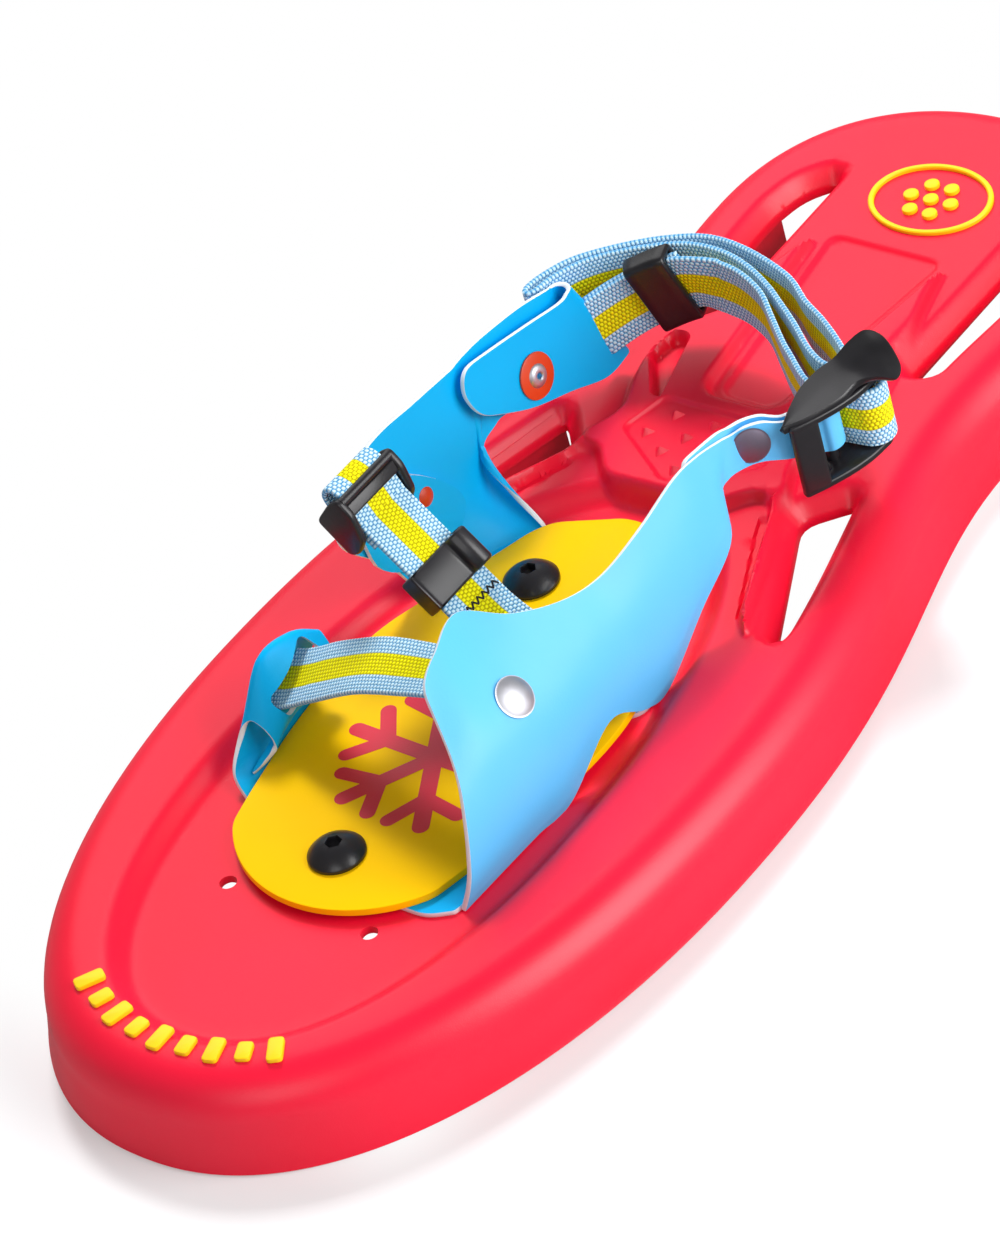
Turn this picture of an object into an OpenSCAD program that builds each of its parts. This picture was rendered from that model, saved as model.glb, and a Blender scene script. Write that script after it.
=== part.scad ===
// Child's moulded snowshoe with a three-strap binding.
// X runs across the shoe, +Y towards the tail, +Z up. The origin is on the ground
// below the middle of the deck. All sizes are in millimetres.

/* [Deck] */
// Overall length of the deck
deck_l = 445; // [400:1:520]
// Overall width of the deck at the bottom of its skirt
deck_w = 184; // [170:1:210]
// Half width of the tail lobe, at the top edge
tail_hw = 68; // [60:1:74]
// How far the waist is drawn in between the two lobes
waist = 8; // [3:0.5:12]
// Height of the rim above the ground
deck_h = 27; // [24:0.5:34]
// Wall of the moulding
wall = 2.5; // [2:0.1:3.2]
// Radius of the rolled edge
edge_r = 13; // [10:0.5:15]
// How far the skirt spreads outwards at its foot
flare = 3; // [1:0.5:5]

// Place of the binding along the deck, from its middle
bind_y = -6; // [-20:1:10]

/* [Basin] */
// Half width of the sunk basin under the binding
basin_hw = 58; // [52:1:62]
// Depth of the basin below the rim
basin_d = 5; // [3:0.5:7]
// Distance from the toe to the front of the basin
basin_front = 18.5; // [16:0.5:26]

/* [Heel platform] */
// Rise of the heel platform above the rim
platform_h = 4; // [2:0.5:6]
// Width of the cleated heel pad
pad_w = 51; // [44:1:56]
// Height of each small cleat on the pad
cleat_h = 1.8; // [1:0.1:3]
// Side of each small cleat
cleat_side = 5; // [4:0.25:6]

/* [Slots and rails] */
// Width of the flat rim outside the slots
slot_rim = 21; // [20:0.5:24]
// Pitch of the teeth on the rails under the deck
tooth_pitch = 6; // [5:0.5:9]
// Depth of each rail tooth
tooth_d = 2.5; // [1.5:0.25:4]
// Gap between the rail teeth and the ground
rail_clear = 3; // [2:0.5:6]

/* [Foot plate] */
// Length of the foot plate
plate_l = 165; // [150:1:175]
// Greatest width of the foot plate
plate_w = 91; // [84:1:92]
// Thickness of the foot plate
plate_t = 2.5; // [2:0.1:4]
// Thickness of the harness sheet
sheet_t = 1.5; // [1.2:0.1:2.2]

/* [Bolts] */
// Shank diameter of the plate bolts
bolt_d = 6; // [5:0.5:7]
// Head diameter of the plate bolts
bolt_head_d = 16.5; // [14:0.5:20]
// Height of the domed bolt head
bolt_head_h = 5; // [4:0.25:6]

/* [Webbing] */
// Width of the webbing
web_w = 19.5; // [18:0.5:21]
// Thickness of the webbing
web_t = 1.6; // [1.2:0.1:1.9]
// Radius of the heel strap's inner layer
heel_r = 42; // [40:0.5:46]
// Height of the middle of the heel strap above the ground
heel_z = 55; // [50:1:60]
// How far the heel strap tips down towards the far wing, in degrees
strap_tilt = 20; // [0:1:25]

/* [Buckles] */
// Wall of the moulded keeper and sliders
keeper_wall = 2; // [1.5:0.1:2.5]
// Length of the heel keeper along the strap
keeper_l = 14; // [10:0.5:18]
// Bar diameter of the buckles
bar_d = 4; // [3:0.25:4.5]
// Running clearance round a moving piece
run_gap = 0.4; // [0.3:0.05:0.6]

/* [Hidden] */
$fn = 36;

// Deck levels, from the ground up
floor_z = deck_h - basin_d;
panel_z = deck_h - wall;
platform_z = deck_h + platform_h;
sheet_z = floor_z;
plate_z = floor_z + sheet_t;
plate_top = plate_z + plate_t;

// Half width of the deck at the top edge, and the lobes' centres and reaches
top_hw = deck_w / 2 - flare;
toe_y = -deck_l / 2 + flare - bind_y;
tail_y = deck_l / 2 - flare - bind_y;
front_c = toe_y + 160;
tail_c = tail_y - 67;
lobe_power = 2.2;

// ---- Curves -------------------------------------------------------------

function spow(v, p) = sign(v) * pow(abs(v), p);

// A quarter to half of a superellipse, from angle a0 to a1
function lobe(cy, hw, reach, a0, a1, n) =
    [for (i = [0:n]) let (a = a0 + (a1 - a0) * i / n)
        [hw * spow(cos(a), 2 / lobe_power), cy + reach * spow(sin(a), 2 / lobe_power)]];

// Half width between the lobes: a cosine ease plus a dip at the waist
function mid_hw(y) =
    let (t = (y - front_c) / (tail_c - front_c))
    top_hw - (top_hw - tail_hw) * (1 - cos(180 * t)) / 2
        - waist * pow(sin(180 * pow(t, 1.6)), 2);

function arc(c, r, a0, a1, n) =
    [for (i = [0:n]) let (a = a0 + (a1 - a0) * i / n) c + r * [cos(a), sin(a)]];

function mirror_x(pts) = [for (p = pts) [-p[0], p[1]]];
function reverse(pts) = [for (i = [len(pts) - 1:-1:0]) pts[i]];
function unit(v) = v / norm(v);

// The right half of the deck's top outline, from toe to tail
mid_steps = 12;
right_side = concat(
    lobe(front_c, top_hw, front_c - toe_y, -90, 0, 16),
    [for (i = [1:mid_steps - 1]) let (y = front_c + (tail_c - front_c) * i / mid_steps) [mid_hw(y), y]],
    lobe(tail_c, tail_hw, tail_y - tail_c, 0, 90, 14));
deck_outline = concat(right_side,
    [for (i = [len(right_side) - 2:-1:1]) [-right_side[i][0], right_side[i][1]]]);

// Outward normal of a closed outline at point i
function out_n(pts, i) =
    let (n = len(pts), d = unit(pts[(i + 1) % n] - pts[(i + n - 1) % n])) [d[1], -d[0]];
function inset(pts, d) = [for (i = [0:len(pts) - 1]) pts[i] - d * out_n(pts, i)];

// Catmull-Rom curve through a list of points, n steps to a span
function cr(a, b, c, d, t) =
    0.5 * (2 * b + (c - a) * t + (2 * a - 5 * b + 4 * c - d) * t * t + (3 * b - a - 3 * c + d) * t * t * t);
function spline(p, n) =
    let (m = len(p) - 1)
    concat([for (i = [0:m - 1], k = [0:n - 1])
        cr(p[max(i - 1, 0)], p[i], p[i + 1], p[min(i + 2, m)], k / n)], [p[m]]);

// ---- Shared builders ----------------------------------------------------

// A shell swept round the deck outline. The profile runs from the top's edge over the rim and
// back up inside, as a list of [inset, height]; both ends are closed by a flat cap.
module rim_shell(profile) {
    n = len(deck_outline);
    m = len(profile);
    rings = [for (q = profile) [for (p = inset(deck_outline, q[0])) [p[0], p[1], q[1]]]];
    polyhedron([for (r = rings, p = r) p], concat(
        [[for (i = [n - 1:-1:0]) i], [for (i = [0:n - 1]) (m - 1) * n + i]],
        [for (j = [0:m - 2], i = [0:n - 1], f = [0, 1]) f == 0
            ? [j * n + i, j * n + (i + 1) % n, (j + 1) * n + (i + 1) % n]
            : [j * n + i, (j + 1) * n + (i + 1) % n, (j + 1) * n + i]]), convexity = 8);
}

// A strap: a flat path thickened by t and drawn out to width w
module ribbon(path, w, t) {
    m = len(path) - 1;
    side = [for (i = [0:m]) let (d = unit(path[min(i + 1, m)] - path[max(i - 1, 0)])) [-d[1], d[0]] * t / 2];
    linear_extrude(w, center = true, convexity = 6)
        polygon(concat([for (i = [0:m]) path[i] + side[i]], [for (i = [m:-1:0]) path[i] - side[i]]));
}

// A bent sheet through a grid of points, thickened by t along its own normals
module sheet(grid, t) {
    nu = len(grid);
    nv = len(grid[0]);
    normal = [for (i = [0:nu - 1]) [for (j = [0:nv - 1])
        unit(cross(grid[min(i + 1, nu - 1)][j] - grid[max(i - 1, 0)][j],
                   grid[i][min(j + 1, nv - 1)] - grid[i][max(j - 1, 0)]))]];
    top = [for (i = [0:nu - 1], j = [0:nv - 1]) grid[i][j] + normal[i][j] * t / 2];
    bottom = [for (i = [0:nu - 1], j = [0:nv - 1]) grid[i][j] - normal[i][j] * t / 2];
    b = nu * nv;
    function at(i, j) = i * nv + j;
    polyhedron(concat(top, bottom), concat(
        [for (i = [0:nu - 2], j = [0:nv - 2], f = [0, 1]) f == 0
            ? [at(i, j), at(i, j + 1), at(i + 1, j + 1)]
            : [at(i, j), at(i + 1, j + 1), at(i + 1, j)]],
        [for (i = [0:nu - 2], j = [0:nv - 2], f = [0, 1]) f == 0
            ? [b + at(i, j), b + at(i + 1, j + 1), b + at(i, j + 1)]
            : [b + at(i, j), b + at(i + 1, j), b + at(i + 1, j + 1)]],
        [for (i = [0:nu - 2], f = [0, 1]) f == 0
            ? [at(i, 0), at(i + 1, 0), b + at(i + 1, 0)] : [at(i, 0), b + at(i + 1, 0), b + at(i, 0)]],
        [for (i = [0:nu - 2], f = [0, 1]) f == 0
            ? [at(i, nv - 1), b + at(i + 1, nv - 1), at(i + 1, nv - 1)]
            : [at(i, nv - 1), b + at(i, nv - 1), b + at(i + 1, nv - 1)]],
        [for (j = [0:nv - 2], f = [0, 1]) f == 0
            ? [at(0, j), b + at(0, j + 1), at(0, j + 1)] : [at(0, j), b + at(0, j), b + at(0, j + 1)]],
        [for (j = [0:nv - 2], f = [0, 1]) f == 0
            ? [at(nu - 1, j), at(nu - 1, j + 1), b + at(nu - 1, j + 1)]
            : [at(nu - 1, j), b + at(nu - 1, j + 1), b + at(nu - 1, j)]]), convexity = 8);
}

// Rows of control points turned into a fine grid, nu steps along and nv across
function fine_grid(rows, nu, nv) =
    let (cols = [for (r = rows) spline(r, nv)], along = [for (j = [0:len(cols[0]) - 1])
        spline([for (c = cols) c[j]], nu)])
    [for (i = [0:len(along[0]) - 1]) [for (j = [0:len(along) - 1]) along[j][i]]];

// A solid through a stack of outlines with as many points each, as a list of [outline, height]
module loft(levels) {
    n = len(levels[0][0]);
    m = len(levels);
    polyhedron([for (v = levels, p = v[0]) [p[0], p[1], v[1]]],
        concat([[for (i = [0:n - 1]) i], [for (i = [n - 1:-1:0]) (m - 1) * n + i]],
            [for (j = [0:m - 2], i = [0:n - 1], f = [0, 1]) let (k = j * n, q = (i + 1) % n) f == 0
                ? [k + i, k + n + q, k + q] : [k + i, k + n + i, k + n + q]]), convexity = 6);
}

// A block between two heights whose sides lean: the outline at z0, drawn in by d at z1
module frustum(pts, z0, z1, d) loft([[pts, z0], [inset(pts, d), z1]]);

// Everything is drawn from the binding's own reference point, then set on the deck's middle
module place() translate([0, bind_y, 0]) children();

module both_sides() {
    children();
    mirror([1, 0, 0]) children();
}

// ---- Deck ---------------------------------------------------------------

// Rim section: a flat strip, rolled edge, spread skirt, then back up inside the wall to the panel's underside
rim_profile = concat([[45, deck_h]], arc([edge_r, deck_h - edge_r], edge_r, 90, 180, 5),
    [[-flare, 0], [wall - flare, 0]], arc([edge_r, deck_h - edge_r], edge_r - wall, 180, 90, 3));

basin_c = -90;
basin_rear = 39;
basin_y0 = toe_y + basin_front;
basin_right = concat(lobe(basin_c, basin_hw, basin_c - basin_y0, -90, 0, 12),
    [for (p = lobe(basin_c, basin_hw, basin_rear - basin_c, 0, 90, 12)) if (p[1] > basin_c) p]);
basin_outline = concat(basin_right,
    [for (i = [len(basin_right) - 2:-1:1]) [-basin_right[i][0], basin_right[i][1]]]);

// The X-shaped platform: a hub round the heel pad, two arms to the front and two to the tail
heel_y = 55;
platform_right = [[0, -24], [20, -25], [31, -12], [50, -58], [57, -64], [60.5, -61], [39, -7], [33, 4], [39, 17],
    [42, 31], [38, 49], [30, 75], [25, 95], [20, 93], [10.5, 22]];
platform_outline = [for (p = concat(platform_right,
    [for (i = [len(platform_right) - 1:-1:1]) [-platform_right[i][0], platform_right[i][1]]]))
    [p[0], p[1] + heel_y]];

// Slots, right side: the outer edge follows the rim, the inner edge is straight
mid_slot = concat([[66.5 - (slot_rim - 18.5), -3]],
    [for (y = [3:9:57]) [mid_hw(y) - slot_rim + 0.5, y]], [[40, 45]]);
rear_slot = concat([[35, 108]], [for (y = [110:10:160]) [mid_hw(y) - slot_rim - 1, y]], [[44, 171], [36, 181]]);
funnel_grow = 7;
funnel_z = floor_z - 1;

// Pad: a home-plate outline round the heel's centre
pad_pts = [for (p = [[0, -19], [24.5, -3], [20.5, 14], [-20.5, 14], [-24.5, -3]])
    [p[0] * pad_w / 49, p[1] + heel_y]];
cleat_pts = [[-13.5, 8], [0, 8], [13.5, 8], [-5, 0.5], [5, 0.5], [-17.5, -1.5], [17.5, -1.5], [-8.7, -7],
    [8.7, -7], [0, -12.5]];
pad_floor = platform_z - 1.2;

// Bolts: one on the centre line, one set over to the far side
bolt_pts = [[1, -121], [-14.5, -9]];
drain_pts = [[-24.5, -139], [24.5, -139]];
drain_d = 5;

module rail(from, to) {
    l = norm(to - from);
    teeth = floor(l / tooth_pitch);
    translate([from[0], from[1], 0]) rotate([0, 0, atan2(to[1] - from[1], to[0] - from[0])])
        rotate([90, 0, 0]) linear_extrude(2, center = true)
            polygon(concat([[0, panel_z + 1]], [for (i = [0:teeth - 1], f = [0, 1])
                [(i + f * 0.7) * l / teeth, rail_clear + f * tooth_d]],
                [[l, rail_clear], [l, panel_z + 1]]));
}

module deck_ribs() {
    both_sides() {
        rail([70, -6], [54, 58]);
        rail([50.5, 110], [49.5, 164]);
        translate([26, -168, 9]) cube([2, 20, panel_z - 8 - basin_d]);
        translate([26, 46, 9]) cube([2, 120, panel_z - 8]);
    }
    for (y = [-165, -70, 20]) translate([-30, y, 11]) cube([60, 2, floor_z - wall - 10.5]);
}

module deck_solid() {
    difference() {
        union() {
            rim_shell(rim_profile);
            frustum(inset(basin_outline, basin_d - wall * 0.6), floor_z - wall, deck_h - 0.5, -basin_d);
        }
        frustum(inset(basin_outline, basin_d), floor_z, deck_h + 0.5, -basin_d * 1.1);
    }
    frustum(platform_outline, floor_z - 1, platform_z, 3.5);
    both_sides() for (s = [mid_slot, rear_slot])
        frustum(inset(s, -wall), funnel_z - wall, deck_h - 0.7, -funnel_grow * 0.6);
    deck_ribs();
    for (p = bolt_pts) translate([p[0], p[1], floor_z - wall - 1]) cylinder(d = 20, h = 2);
}

module cleat() {
    hull() {
        cylinder(r = cleat_side * 0.6, h = 0.05, $fn = 3);
        translate([0, 0, cleat_h]) cylinder(r = 0.2, h = 0.05, $fn = 3);
    }
}

module deck() color([0.87, 0.14, 0.15]) place() {
    difference() {
        deck_solid();
        both_sides() for (s = [mid_slot, rear_slot])
            loft([[s, funnel_z - wall - 1], [s, funnel_z], [inset(s, -funnel_grow), platform_z + 0.1]]);
        frustum(inset(pad_pts, 1), pad_floor, platform_z + 0.1, -1);
        // Sunk panels: the trapezoid behind the pad, the kites beside it and the front grooves
        frustum([for (p = [[-9, 24], [9, 24], [19, 97], [-19, 97]]) p + [0, heel_y]], deck_h - 1,
            platform_z + 0.1, -2.5);
        both_sides() {
            frustum([for (p = [[24, 13], [36, 29], [35, 38], [31, 38]]) p + [0, heel_y]], deck_h - 0.5,
                platform_z + 0.1, -1.5);
            frustum([for (p = [[33, -19], [51, -56], [36, -18]]) p + [0, heel_y]], deck_h - 1,
                platform_z + 0.1, -1);
        }
        for (p = bolt_pts) translate([p[0], p[1], 0]) cylinder(d = bolt_d + 2 * 0.1, h = deck_h);
        for (p = drain_pts) translate([p[0], p[1], 0]) cylinder(d = drain_d, h = deck_h);
    }
    for (p = cleat_pts) translate([p[0], p[1] + heel_y, pad_floor - 0.05]) rotate([0, 0, 34]) cleat();
}

// ---- Raised motifs ------------------------------------------------------

motif_t = 1.2;
motif_r = 60;
module toe_motif() color([0.97, 0.75, 0.05]) place()
    for (i = [-4:4]) translate([0, toe_y + 16 + motif_r, deck_h]) rotate([0, 0, i * 8.1])
        translate([0, -motif_r, 0]) linear_extrude(motif_t)
            offset(1, $fn = 12) offset(-1) square([4.4, i % 2 == 0 ? 8.5 : 6.5], center = true);

module tail_motif() color([0.97, 0.75, 0.05]) place() translate([0, tail_y - 49.5, deck_h]) {
    difference() {
        scale([1.25, 1, 1]) cylinder(r = 16, h = motif_t);
        translate([0, 0, -1]) scale([1.27, 1, 1]) cylinder(r = 14.2, h = motif_t + 2);
    }
    for (a = [0:60:300]) rotate([0, 0, a]) translate([7, 0, 0]) cylinder(r = 2.2, h = motif_t, $fn = 16);
    cylinder(r = 2.6, h = motif_t, $fn = 20);
}

// ---- Foot plate and its fasteners ---------------------------------------

plate_hw = plate_w / 2;
plate_y0 = -141;
plate_y1 = plate_y0 + plate_l;
plate_nose_r = 42;

// Leaf outline, right side from the nose to the tail
plate_right = concat(arc([0, plate_y0 + plate_nose_r], plate_nose_r, -90, -34, 7),
    [[plate_hw - 8, -112], [plate_hw - 2.5, -85], [plate_hw, -60], [plate_hw - 1, -42],
    [plate_hw - 18, plate_y1 - 15], [plate_hw - 22, plate_y1 - 9.5], [plate_hw - 28, plate_y1 - 6.5],
    [5, plate_y1 - 0.5]]);
plate_outline = concat(plate_right, [for (i = [len(plate_right) - 1:-1:1]) [-plate_right[i][0], plate_right[i][1]]]);

// Room that the harness sheets leave for the plate
module plate_room() translate([0, 0, plate_z - 0.1]) linear_extrude(plate_t + 0.4)
    polygon(inset(plate_outline, -0.3));

module foot_plate() color([0.97, 0.73, 0.03]) place() difference() {
    translate([0, 0, plate_z]) linear_extrude(plate_t) polygon(plate_outline);
    for (p = bolt_pts) translate([p[0], p[1], 0]) cylinder(d = bolt_d + 2 * 0.1, h = deck_h + 2);
}

washer_t = 1.2;
washer_d = 16;
nut_h = 5;
nut_af = 10;
socket_af = 4;
boss_z = floor_z - wall - 1;
hex = 2 / sqrt(3);

module plate_bolt() {
    crown_r = (pow(bolt_head_d / 2, 2) + pow(bolt_head_h - 1, 2)) / (2 * (bolt_head_h - 1));
    difference() {
        union() {
            translate([0, 0, plate_top]) cylinder(d = bolt_head_d, h = 1);
            translate([0, 0, plate_top + 1]) intersection() {
                translate([0, 0, bolt_head_h - 1 - crown_r]) sphere(crown_r, $fn = 28);
                cylinder(d = bolt_head_d, h = bolt_head_h);
            }
            translate([0, 0, boss_z - washer_t - nut_h - 2])
                cylinder(d = bolt_d, h = plate_top + 0.5 - (boss_z - washer_t - nut_h - 2));
        }
        translate([0, 0, plate_top + bolt_head_h - 2.6]) cylinder(d = socket_af * hex, h = 4, $fn = 6);
    }
}

module plate_bolts() color([0.09, 0.09, 0.1]) place() for (p = bolt_pts) translate([p[0], p[1], 0]) plate_bolt();

module bolt_washers() color([0.75, 0.75, 0.77]) place() for (p = bolt_pts)
    translate([p[0], p[1], boss_z - washer_t]) difference() {
        cylinder(d = washer_d, h = washer_t);
        translate([0, 0, -1]) cylinder(d = bolt_d + 2 * 0.1, h = washer_t + 2);
    }

module bolt_nuts() color([0.7, 0.7, 0.72]) place() for (p = bolt_pts)
    translate([p[0], p[1], boss_z - washer_t - nut_h]) difference() {
        cylinder(d = nut_af * hex, h = nut_h, $fn = 6);
        translate([0, 0, -1]) cylinder(d = bolt_d, h = nut_h + 2);
    }

// ---- Harness ------------------------------------------------------------

// Middle of the sheet where it lies on the basin's floor
lay_z = sheet_z + sheet_t / 2;

// Where the upright sheets stand, beside the plate: the near wing's front and rear feet, the
// lug's foot and the far wing's foot, each from the toe towards the tail
side_x = plate_hw + 0.7;
near_front_foot = [[side_x - 2.2, -122], [side_x - 1.6, -105], [side_x - 1, -90], [side_x, -76]];
near_rear_foot = [[side_x + 0.2, -40], [side_x - 1, -28]];
lug_foot = [[7.4 - side_x, -111.5], [5.7 - side_x, -99], [2.8 - side_x, -86], [0.4 - side_x, -73]];
far_foot = [[3.8 - side_x, -24], [5 - side_x, -13], [9.4 - side_x, 0], [15.7 - side_x, 12.5]];
function beside(foot, d) = [for (p = foot) p - [sign(p[0]) * (sheet_t / 2 + d), 0]];

// Flat part clamped under the foot plate, from the front round the near side
arch_x = side_x - 14;
base_pts = concat([[0, -124], [side_x - 4, -124]], beside(near_front_foot, 0.15), [[arch_x + 1, -66], [arch_x, -50]],
    beside(near_rear_foot, 0.15), [[arch_x + 1, -14], [arch_x - 1, 4], [20, 12], [-20, 13.5]],
    [for (i = [3:-1:0]) far_foot[i] + [1.4 + 0.4 * i, 0]], [[-arch_x, -34], [-arch_x, -66]],
    [for (p = reverse(lug_foot)) p + [1.4, 0]], [[-34, -118], [-30, -124]]);
module harness_base() color([0.1, 0.7, 0.93]) place() difference() {
    translate([0, 0, sheet_z]) linear_extrude(sheet_t)
        polygon(base_pts);
    for (p = bolt_pts) translate([p[0], p[1], 0]) cylinder(d = bolt_d + 2 * 0.1, h = deck_h);
}

// Rear bar of the heel buckle, which the near wing's arm is folded round
bar_a = [side_x + 6.3, 50.5];
fold_r = bar_d / 2 + run_gap + sheet_t / 2;

// Near wing: rows from its front edge back along the arm, each from its lower edge to its top edge.
// The wing leans in over the foot, has an arch cut at its root, and narrows to the arm.
arm_z0 = heel_z - 6.6;
arm_z1 = heel_z + 6.6;
function foot_row(foot, pts, up = 0) = concat([[foot[0], foot[1], lay_z + up]], pts);
// A row of the near wing; x is counted from the wing's foot beside the plate's widest part
function near_row(pts) = [for (p = pts) [side_x + p[0], p[1], p[2]]];
// A straight row at y, from x0 at height z0 to x1 at height z1, counted likewise
function arm_row(x0, x1, y, z0, z1) = near_row([for (k = [0:4]) [x0 + (x1 - x0) * k / 4, y, z0 + (z1 - z0) * k / 4]]);
near_rows = concat([
    foot_row(near_front_foot[0], near_row([[0.4, -119, 33], [-1.4, -113, 48], [-7, -106, 60], [-21.2, -96, 74]])),
    foot_row(near_front_foot[1], near_row([[0.9, -104, 34], [-0.6, -101, 49], [-6.6, -96, 62], [-23.7, -86, 76]])),
    foot_row(near_front_foot[2], near_row([[1.1, -89, 34], [-0.4, -87, 49], [-6.6, -83, 61], [-24.7, -73, 76.5]])),
    foot_row(near_front_foot[3], near_row([[1.2, -75, 34], [-0.6, -73, 49], [-6, -69, 59], [-17.2, -61, 69.5]])),
    near_row([[0.7, -55, 34], [0.5, -54, 41], [-0.8, -52, 49], [-4.7, -50, 57], [-11.7, -48, 65]]),
    near_row([[0.2, -40, 25.5], [0.8, -38, 36], [-0.4, -37, 46], [-3.2, -36, 54], [-9.2, -34, 62]]),
    foot_row(near_rear_foot[1], near_row([[0.8, -26, 33], [-0.2, -24, 43], [-2.7, -22, 52], [-7.7, -19, 60]])),
    near_row([[0.4, -9, 33], [0.4, -8, 40], [-0.6, -6, 47], [-3.2, -4, 54], [-7.7, -2, 61.5]])],
    [arm_row(-0.2, -9.2, 12, 46, 64), arm_row(-0.6, -9.6, 22, 48, 63.5), arm_row(-1.6, -10.4, 31, 49.5, 63.5),
    arm_row(-2.2, -6.7, 38, 48.5, 63.5), arm_row(-2.6, -3.6, 44, 47.5, 63.3)],
    [for (a = [-75:45:150]) let (p = bar_a + fold_r * [cos(a), sin(a)] - [side_x, 0])
        arm_row(p[0], p[0], p[1], arm_z0, arm_z1)],
    [arm_row(-4, -4.9, 46.2, 47.4, 62.6), arm_row(-4.2, -8.7, 38.5, 47.6, 62.5), arm_row(-3.5, -12.3, 31, 48.4, 62.4),
    arm_row(-2.6, -11.6, 22, 46.9, 62.4), arm_row(-2.1, -11, 6, 45.2, 61.7)]);

module near_wing() color([0.16, 0.73, 0.95]) place() difference() {
    sheet(fine_grid(near_rows, 2, 2), sheet_t);
    plate_room();
    at_near_rivet() rivet_seat(dome_r, dome_grip);
    at_arm_rivet() rivet_seat(arm_rivet_r, arm_grip);
}

// Far wing: leans out, its rear end folded round the heel strap and riveted back on itself.
// The fold slopes forward towards its top, and the strap comes out of a slot in it.
far_lean = 0.2;
// Its x is counted from the line beside the plate's widest part, towards the middle
function far_side(pts) = [for (p = pts) [p[0] - side_x, p[1], p[2]]];
function far_row(x, y, za, zb) = far_side([for (k = [0:3]) let (z = za + (zb - za) * k / 3)
    [x - far_lean * (z - lay_z), y, z]]);
far_fold = [0.2 - side_x, 71];
far_fold_r = 3.2;
far_fold_z = [34, 63.5];
far_shear = 0.35;
// A row of the flap, from its lower edge [y, z] to its upper edge
flap_x = 2.8 - side_x;
function flap_row(lo, hi) = [for (k = [0:3]) let (p = lo + (hi - lo) * k / 3)
    [flap_x - far_lean * (p[1] - 51.4), p[0], p[1]]];
far_rows = concat(
    [foot_row(far_foot[0], far_side([[0.6, -31, 40], [-2, -43, 56], [-4.4, -38, 70]])),
    foot_row(far_foot[1], far_side([[0.8, -16, 38], [-2.2, -17, 56], [-5.4, -17, 73]])),
    foot_row(far_foot[2], far_side([[1, 0, 38], [-2, 1, 55], [-5.1, 1, 72]]), 0.6),
    foot_row(far_foot[3], far_side([[1.2, 17.5, 38], [-1.8, 18, 54], [-5, 18, 71]]), 1.2)],
    [far_row(4.2, 34, 38, 70.5), far_row(4.2, 50, 36, 68.5), far_row(3.8, 62, 34, 65.5)],
    [for (a = [180:-45:0]) let (p = far_fold + far_fold_r * [cos(a), sin(a)])
        [for (k = [0:3]) let (z = far_fold_z[0] + (far_fold_z[1] - far_fold_z[0]) * k / 3)
            [p[0] - far_lean * (z - 48), p[1] - far_shear * (z - 48), z]]],
    [flap_row([66, 34], [61, 63.2]), flap_row([52, 39.5], [47, 66]), flap_row([37, 45], [31, 69]),
    flap_row([25, 51.5], [21, 70.5]), flap_row([16.5, 57], [15.5, 69.5])]);

module far_wing() color([0.16, 0.73, 0.95]) place() difference() {
    sheet(fine_grid(far_rows, 2, 2), sheet_t);
    strap_room();
    at_tab_rivet() rivet_seat(tab_rivet_r, tab_grip);
    at_far_eyelet() {
        rivet_seat(eyelet_r, eyelet_grip);
        cylinder(r = washer_r + 0.3, h = 2, $fn = 40);
    }
}

// Tab behind the instep strap's buckle, riveted flat on the far wing's inner face: a piece of the
// wing's own surface, moved in by one sheet
tab_pts = [[-36, 62], [-17, 60.5], [-4, 50], [2, 40], [-1, 35], [-8, 32.5], [-24, 34], [-36, 44]];
tab_gap = 0.25;
module instep_tab() color([0.16, 0.73, 0.95]) place() difference() {
    translate([sheet_t + tab_gap, 0, 0]) intersection() {
        sheet(fine_grid(far_rows, 2, 2), sheet_t);
        translate([-70, 0, 0]) rotate([90, 0, 90]) linear_extrude(60) polygon(spline(concat(tab_pts, [tab_pts[0]]), 3));
    }
    at_tab_rivet() rivet_seat(tab_rivet_r, tab_grip);
}

// Toe lug: an upright tongue on the far side, folded in over itself as an open hem. The toe strap
// comes out of a window in the hem. Each row runs from the foot up the outer wall, over the
// fold and down to the hem's free end; the rows run from the toe side to the rear.
function lug_row(i, pts) = foot_row(lug_foot[i], [for (p = pts) [p[0] - side_x, p[1], p[2]]]);
lug_rows = [
    lug_row(0, [[1.2, -108, 27.5], [-0.3, -100.5, 34], [1.4, -97, 38], [5.2, -96.3, 36], [8.2, -96.8, 31],
        [6.7, -100.5, 27.6], [4.6, -105.5, 25.6]]),
    lug_row(1, [[0.4, -96.5, 29], [-0.8, -90, 41], [0.7, -86.5, 51], [4.7, -87, 46], [8.5, -88, 38.8],
        [7.7, -90.5, 33.4], [5.8, -94.5, 30]]),
    lug_row(2, [[0, -83.5, 30], [-0.9, -78.5, 42], [1.4, -74, 50.3], [5.4, -76, 47.5], [9, -78.5, 42.8],
        [8.4, -80.5, 37.2], [6.4, -84, 33]]),
    lug_row(3, [[-0.4, -70.5, 30], [-0.4, -67, 38], [2.8, -65.5, 44.5], [5.8, -66, 43.6], [8.7, -67.5, 40],
        [8.2, -69.5, 35.6], [6.6, -72, 32]])];
// Middle of the window, and the slope at which it and the strap in it lie
window_at = [5.6 - side_x, -81, 43.2];
window_tilt = 22;
module toe_lug() color([0.16, 0.73, 0.95]) place() difference() {
    sheet(fine_grid(lug_rows, 3, 2), sheet_t);
    translate(window_at) rotate([window_tilt, 0, 0]) translate([1, 0, -0.5]) cube([9, web_w + 2, 8], center = true);
    plate_room();
    at_lug_rivet() rivet_seat(lug_rivet_r, lug_grip);
}

// ---- Webbing ------------------------------------------------------------

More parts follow.
